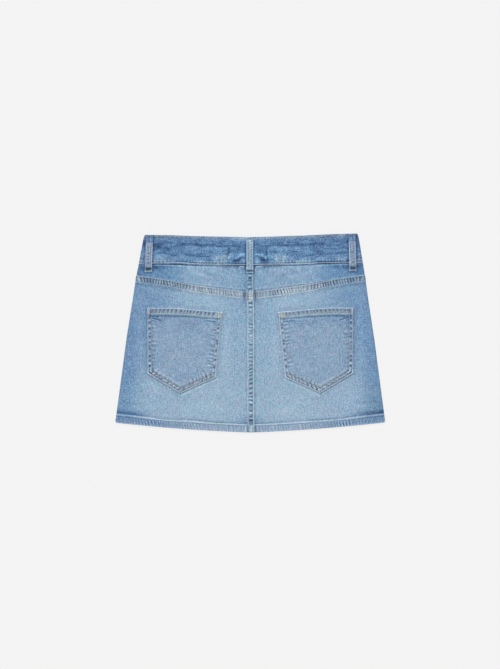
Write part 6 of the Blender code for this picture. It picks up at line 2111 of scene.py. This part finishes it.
def sew_front():
    for side in (-1, 1):

        def curve(run, out, side=side):
            q = side * (run + 1.0)
            L = np.full_like(q, WAIST + 2.2)
            a = across_of(band_levels, q, L)
            base = place(band_levels, -1, a, L, 0.0)
            p = place(band_levels, -1, a, L, front_band(base[..., 0], base[..., 1], L).height + out)
            p[..., 2] += (OVERLAP_RISE if side > 0 else 0.0) * smooth((50.0 - side * base[..., 0]) / 24.0)
            return p

        start = 14.5 if side > 0 else 0.0
        total = float(half_width(np.array(WAIST))) - 2.0
        stitches("thread_front", curve, total, GREY_THREAD, radius=0.36, arch=0.30, seed=101 + side, start=start, sides=4, stations=4)

    # fly: two rows that curve in to the centre below the zip
    for k, x_row in enumerate((36.0, 29.5)):
        y_low = 10.0 + 3.0 * k
        pts = [(-x_row, WAIST - 1.5), (-x_row, y_low + 34)]
        for s in np.linspace(0, 1, 15)[1:]:
            angle = s * math.pi / 2
            pts.append((-x_row * math.cos(angle), y_low + 34 - 34 * math.sin(angle)))

        def ground(x, y):
            along = along_at(x, y)
            return body_levels(along, x)[0] - front_body(x, y, along).height

        curve, total = polyline(pts, ground, up=-1)
        flat_front(curve, "thread_front", total, (196, 201, 203), 111 + k)


# ================================================================ button
def build_button():
    """A tack button: a rolled rim round a shallow dished face, lying face down."""
    height, radius = 1.8, 8.5
    profile = [
        (0.0, 0.55), (2.4, 0.52), (4.6, 0.42), (5.6, 0.34), (6.1, 0.22), (6.5, 0.10), (6.9, 0.02), (7.3, 0.0), (7.7, 0.03),
        (8.05, 0.14), (8.32, 0.34), (8.47, 0.62), (8.5, 0.9), (8.44, 1.18), (8.25, 1.45), (7.95, 1.66), (7.5, 1.78), (6.8, 1.8), (3.0, 1.8), (0.0, 1.8),
    ]
    sides = 72
    angle = 2 * np.pi * np.arange(sides) / sides
    rings = [np.stack([r * np.cos(angle), r * np.sin(angle), np.full(sides, z)], -1) for r, z in profile[1:-1]]
    verts = np.concatenate([[(0, 0, profile[0][1])], *rings, [(0, 0, profile[-1][1])]])
    verts[:, 1] += (TOP + WAIST) / 2
    faces = []
    count = len(rings)
    for k in range(count - 1):
        a = 1 + k * sides + np.arange(sides)
        b = 1 + k * sides + (np.arange(sides) + 1) % sides
        faces.append(np.stack([a, b, b + sides, a + sides], -1))
    mesh = bpy.data.meshes.new("button_head")
    quads = np.concatenate(faces)
    first = [(0, int(1 + (k + 1) % sides), int(1 + k)) for k in range(sides)]
    top = 1 + (count - 1) * sides
    last = [(len(verts) - 1, int(top + k), int(top + (k + 1) % sides)) for k in range(sides)]
    polygons = [tuple(int(i) for i in q[::-1]) for q in quads] + [t[::-1] for t in first] + [t[::-1] for t in last]
    mesh.from_pydata((verts * 0.001).tolist(), [], polygons)
    mesh.update()
    import bmesh

    bm = bmesh.new()
    bm.from_mesh(mesh)
    bmesh.ops.recalc_face_normals(bm, faces=bm.faces)
    if bm.calc_volume(signed=True) < 0:
        bmesh.ops.reverse_faces(bm, faces=bm.faces)
    bm.to_mesh(mesh)
    bm.free()
    mesh.shade_smooth()
    mesh.set_sharp_from_angle(angle=math.radians(40))
    mesh.materials.append(metal_material())
    ob = bpy.data.objects.new("button_head", mesh)
    bpy.context.scene.collection.objects.link(ob)
    made["button_head"] = ob


# ================================================================ floor, light, camera
def stage():
    bpy.ops.mesh.primitive_plane_add(size=9.0, location=(0, 0, -0.0002))
    floor = bpy.context.object
    floor.name = "floor"
    t = Tree("floor_paint")
    t.shader.inputs["Base Color"].default_value = (0.10, 0.10, 0.10, 1)
    t.shader.inputs["Roughness"].default_value = 1.0
    t.shader.inputs["Specular IOR Level"].default_value = 0.0
    t.shader.inputs["Emission Color"].default_value = (1.0, 1.0, 1.0, 1)
    t.shader.inputs["Emission Strength"].default_value = 0.80
    floor.data.materials.append(t.material)

    world = bpy.data.worlds.new("studio")
    world.use_nodes = True
    world.node_tree.nodes["Background"].inputs["Color"].default_value = (1.0, 1.0, 1.0, 1)
    world.node_tree.nodes["Background"].inputs["Strength"].default_value = 0.60
    bpy.context.scene.world = world

    sun = bpy.data.lights.new("key", "SUN")
    sun.energy, sun.angle = 1.62, math.radians(24)
    key = bpy.data.objects.new("key", sun)
    bpy.context.scene.collection.objects.link(key)
    from mathutils import Vector

    towards = Vector((-0.30, 0.62, 1.0))
    key.rotation_mode = "QUATERNION"
    key.rotation_quaternion = towards.to_track_quat("Z", "Y")

    camera = bpy.data.cameras.new("camera")
    camera.sensor_fit = "AUTO"
    camera.sensor_width = 36.0
    ahead = 2.2
    # what 669 pixels of 1.7 mm span at the cloth's own height
    camera.lens = 36.0 * (ahead - 0.006) / 1.1373
    eye = bpy.data.objects.new("camera", camera)
    eye.location = (-0.0005, -0.00238, ahead)
    bpy.context.scene.collection.objects.link(eye)
    bpy.context.scene.camera = eye
    bpy.context.scene.view_settings.view_transform = "Standard"
    bpy.context.scene.view_settings.look = "None"


stage()
build_walls()
build_laps()
build_pockets()
build_loops()
sew()
build_threads()
build_button()

# ================================================================ the pieces' table
Piece = namedtuple("Piece", "name node slot width length area rests")
# width and length of each cut as it shows, in metres
PIECES = [
    Piece("cloth_waistband_back", "waistband_back", "denim_dark", 0.386, 0.0486, None, ["waistband_front_left"]),
    Piece("cloth_waistband_front_left", "waistband_front_left", "denim_dark", 0.206, 0.0486, None, ["loop_front_left"]),
    Piece("cloth_waistband_front_right", "waistband_front_right", "denim_dark", 0.206, 0.0486, None, ["loop_front_right"]),
    Piece("cloth_yoke_left", "yoke_left", "denim", 0.197, 0.0495, 0.0073, ["front_panel_left"]),
    Piece("cloth_yoke_right", "yoke_right", "denim", 0.197, 0.0495, 0.0073, ["front_panel_right"]),
    Piece("cloth_back_panel_left", "back_panel_left", "denim", 0.230, 0.248, 0.048, ["front_panel_left"]),
    Piece("cloth_back_panel_right", "back_panel_right", "denim", 0.230, 0.248, 0.048, ["front_panel_right"]),
    Piece("cloth_front_panel_left", "front_panel_left", "denim", 0.230, 0.274, 0.0563, []),
    Piece("cloth_front_panel_right", "front_panel_right", "denim", 0.230, 0.274, 0.0563, []),
    Piece("cloth_hem_back", "hem_back", "denim", 0.463, 0.0136, 0.0058, ["hem_front"]),
    Piece("cloth_hem_front", "hem_front", "denim", 0.463, 0.0136, 0.0058, []),
    Piece("lap_yoke_left", "seam_yoke_left", "denim_worn", 0.198, 0.0127, None, ["yoke_left", "back_panel_left"]),
    Piece("lap_yoke_right", "seam_yoke_right", "denim_worn", 0.198, 0.0127, None, ["yoke_right", "back_panel_right"]),
    Piece("lap_centre_back", "seam_centre_back", "denim_worn", 0.0119, 0.283, None, ["yoke_left", "back_panel_left"]),
    Piece("cloth_pocket_left", "pocket_left", "denim_worn", 0.129, 0.146, 0.0155, ["back_panel_left"]),
    Piece("cloth_pocket_right", "pocket_right", "denim_worn", 0.129, 0.146, 0.0155, ["back_panel_right"]),
] + [Piece("cloth_" + loop.name, loop.name, "denim_worn", 0.0125, 0.0625, None, ["waistband_back"] if loop.face > 0 else []) for loop in LOOPS]

for piece in PIECES:
    ob = made[piece.name]
    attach(ob, "root")
    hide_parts(piece.node)
for group in threads:
    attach(made[group], "root")
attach(made["button_head"], "root")
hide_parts("waist_button")
zip_strip = bpy.data.objects["zip"]
tape = tape_material()
for k in range(len(zip_strip.material_slots)):
    zip_strip.material_slots[k].material = tape

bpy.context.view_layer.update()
faces = {name: sum(len(p.vertices) - 2 for p in ob.data.polygons) for name, ob in made.items()}
print("triangles", sum(faces.values()), faces)
print("areas", {k: round(v * 1e-6, 5) for k, v in CLOTH.items()})
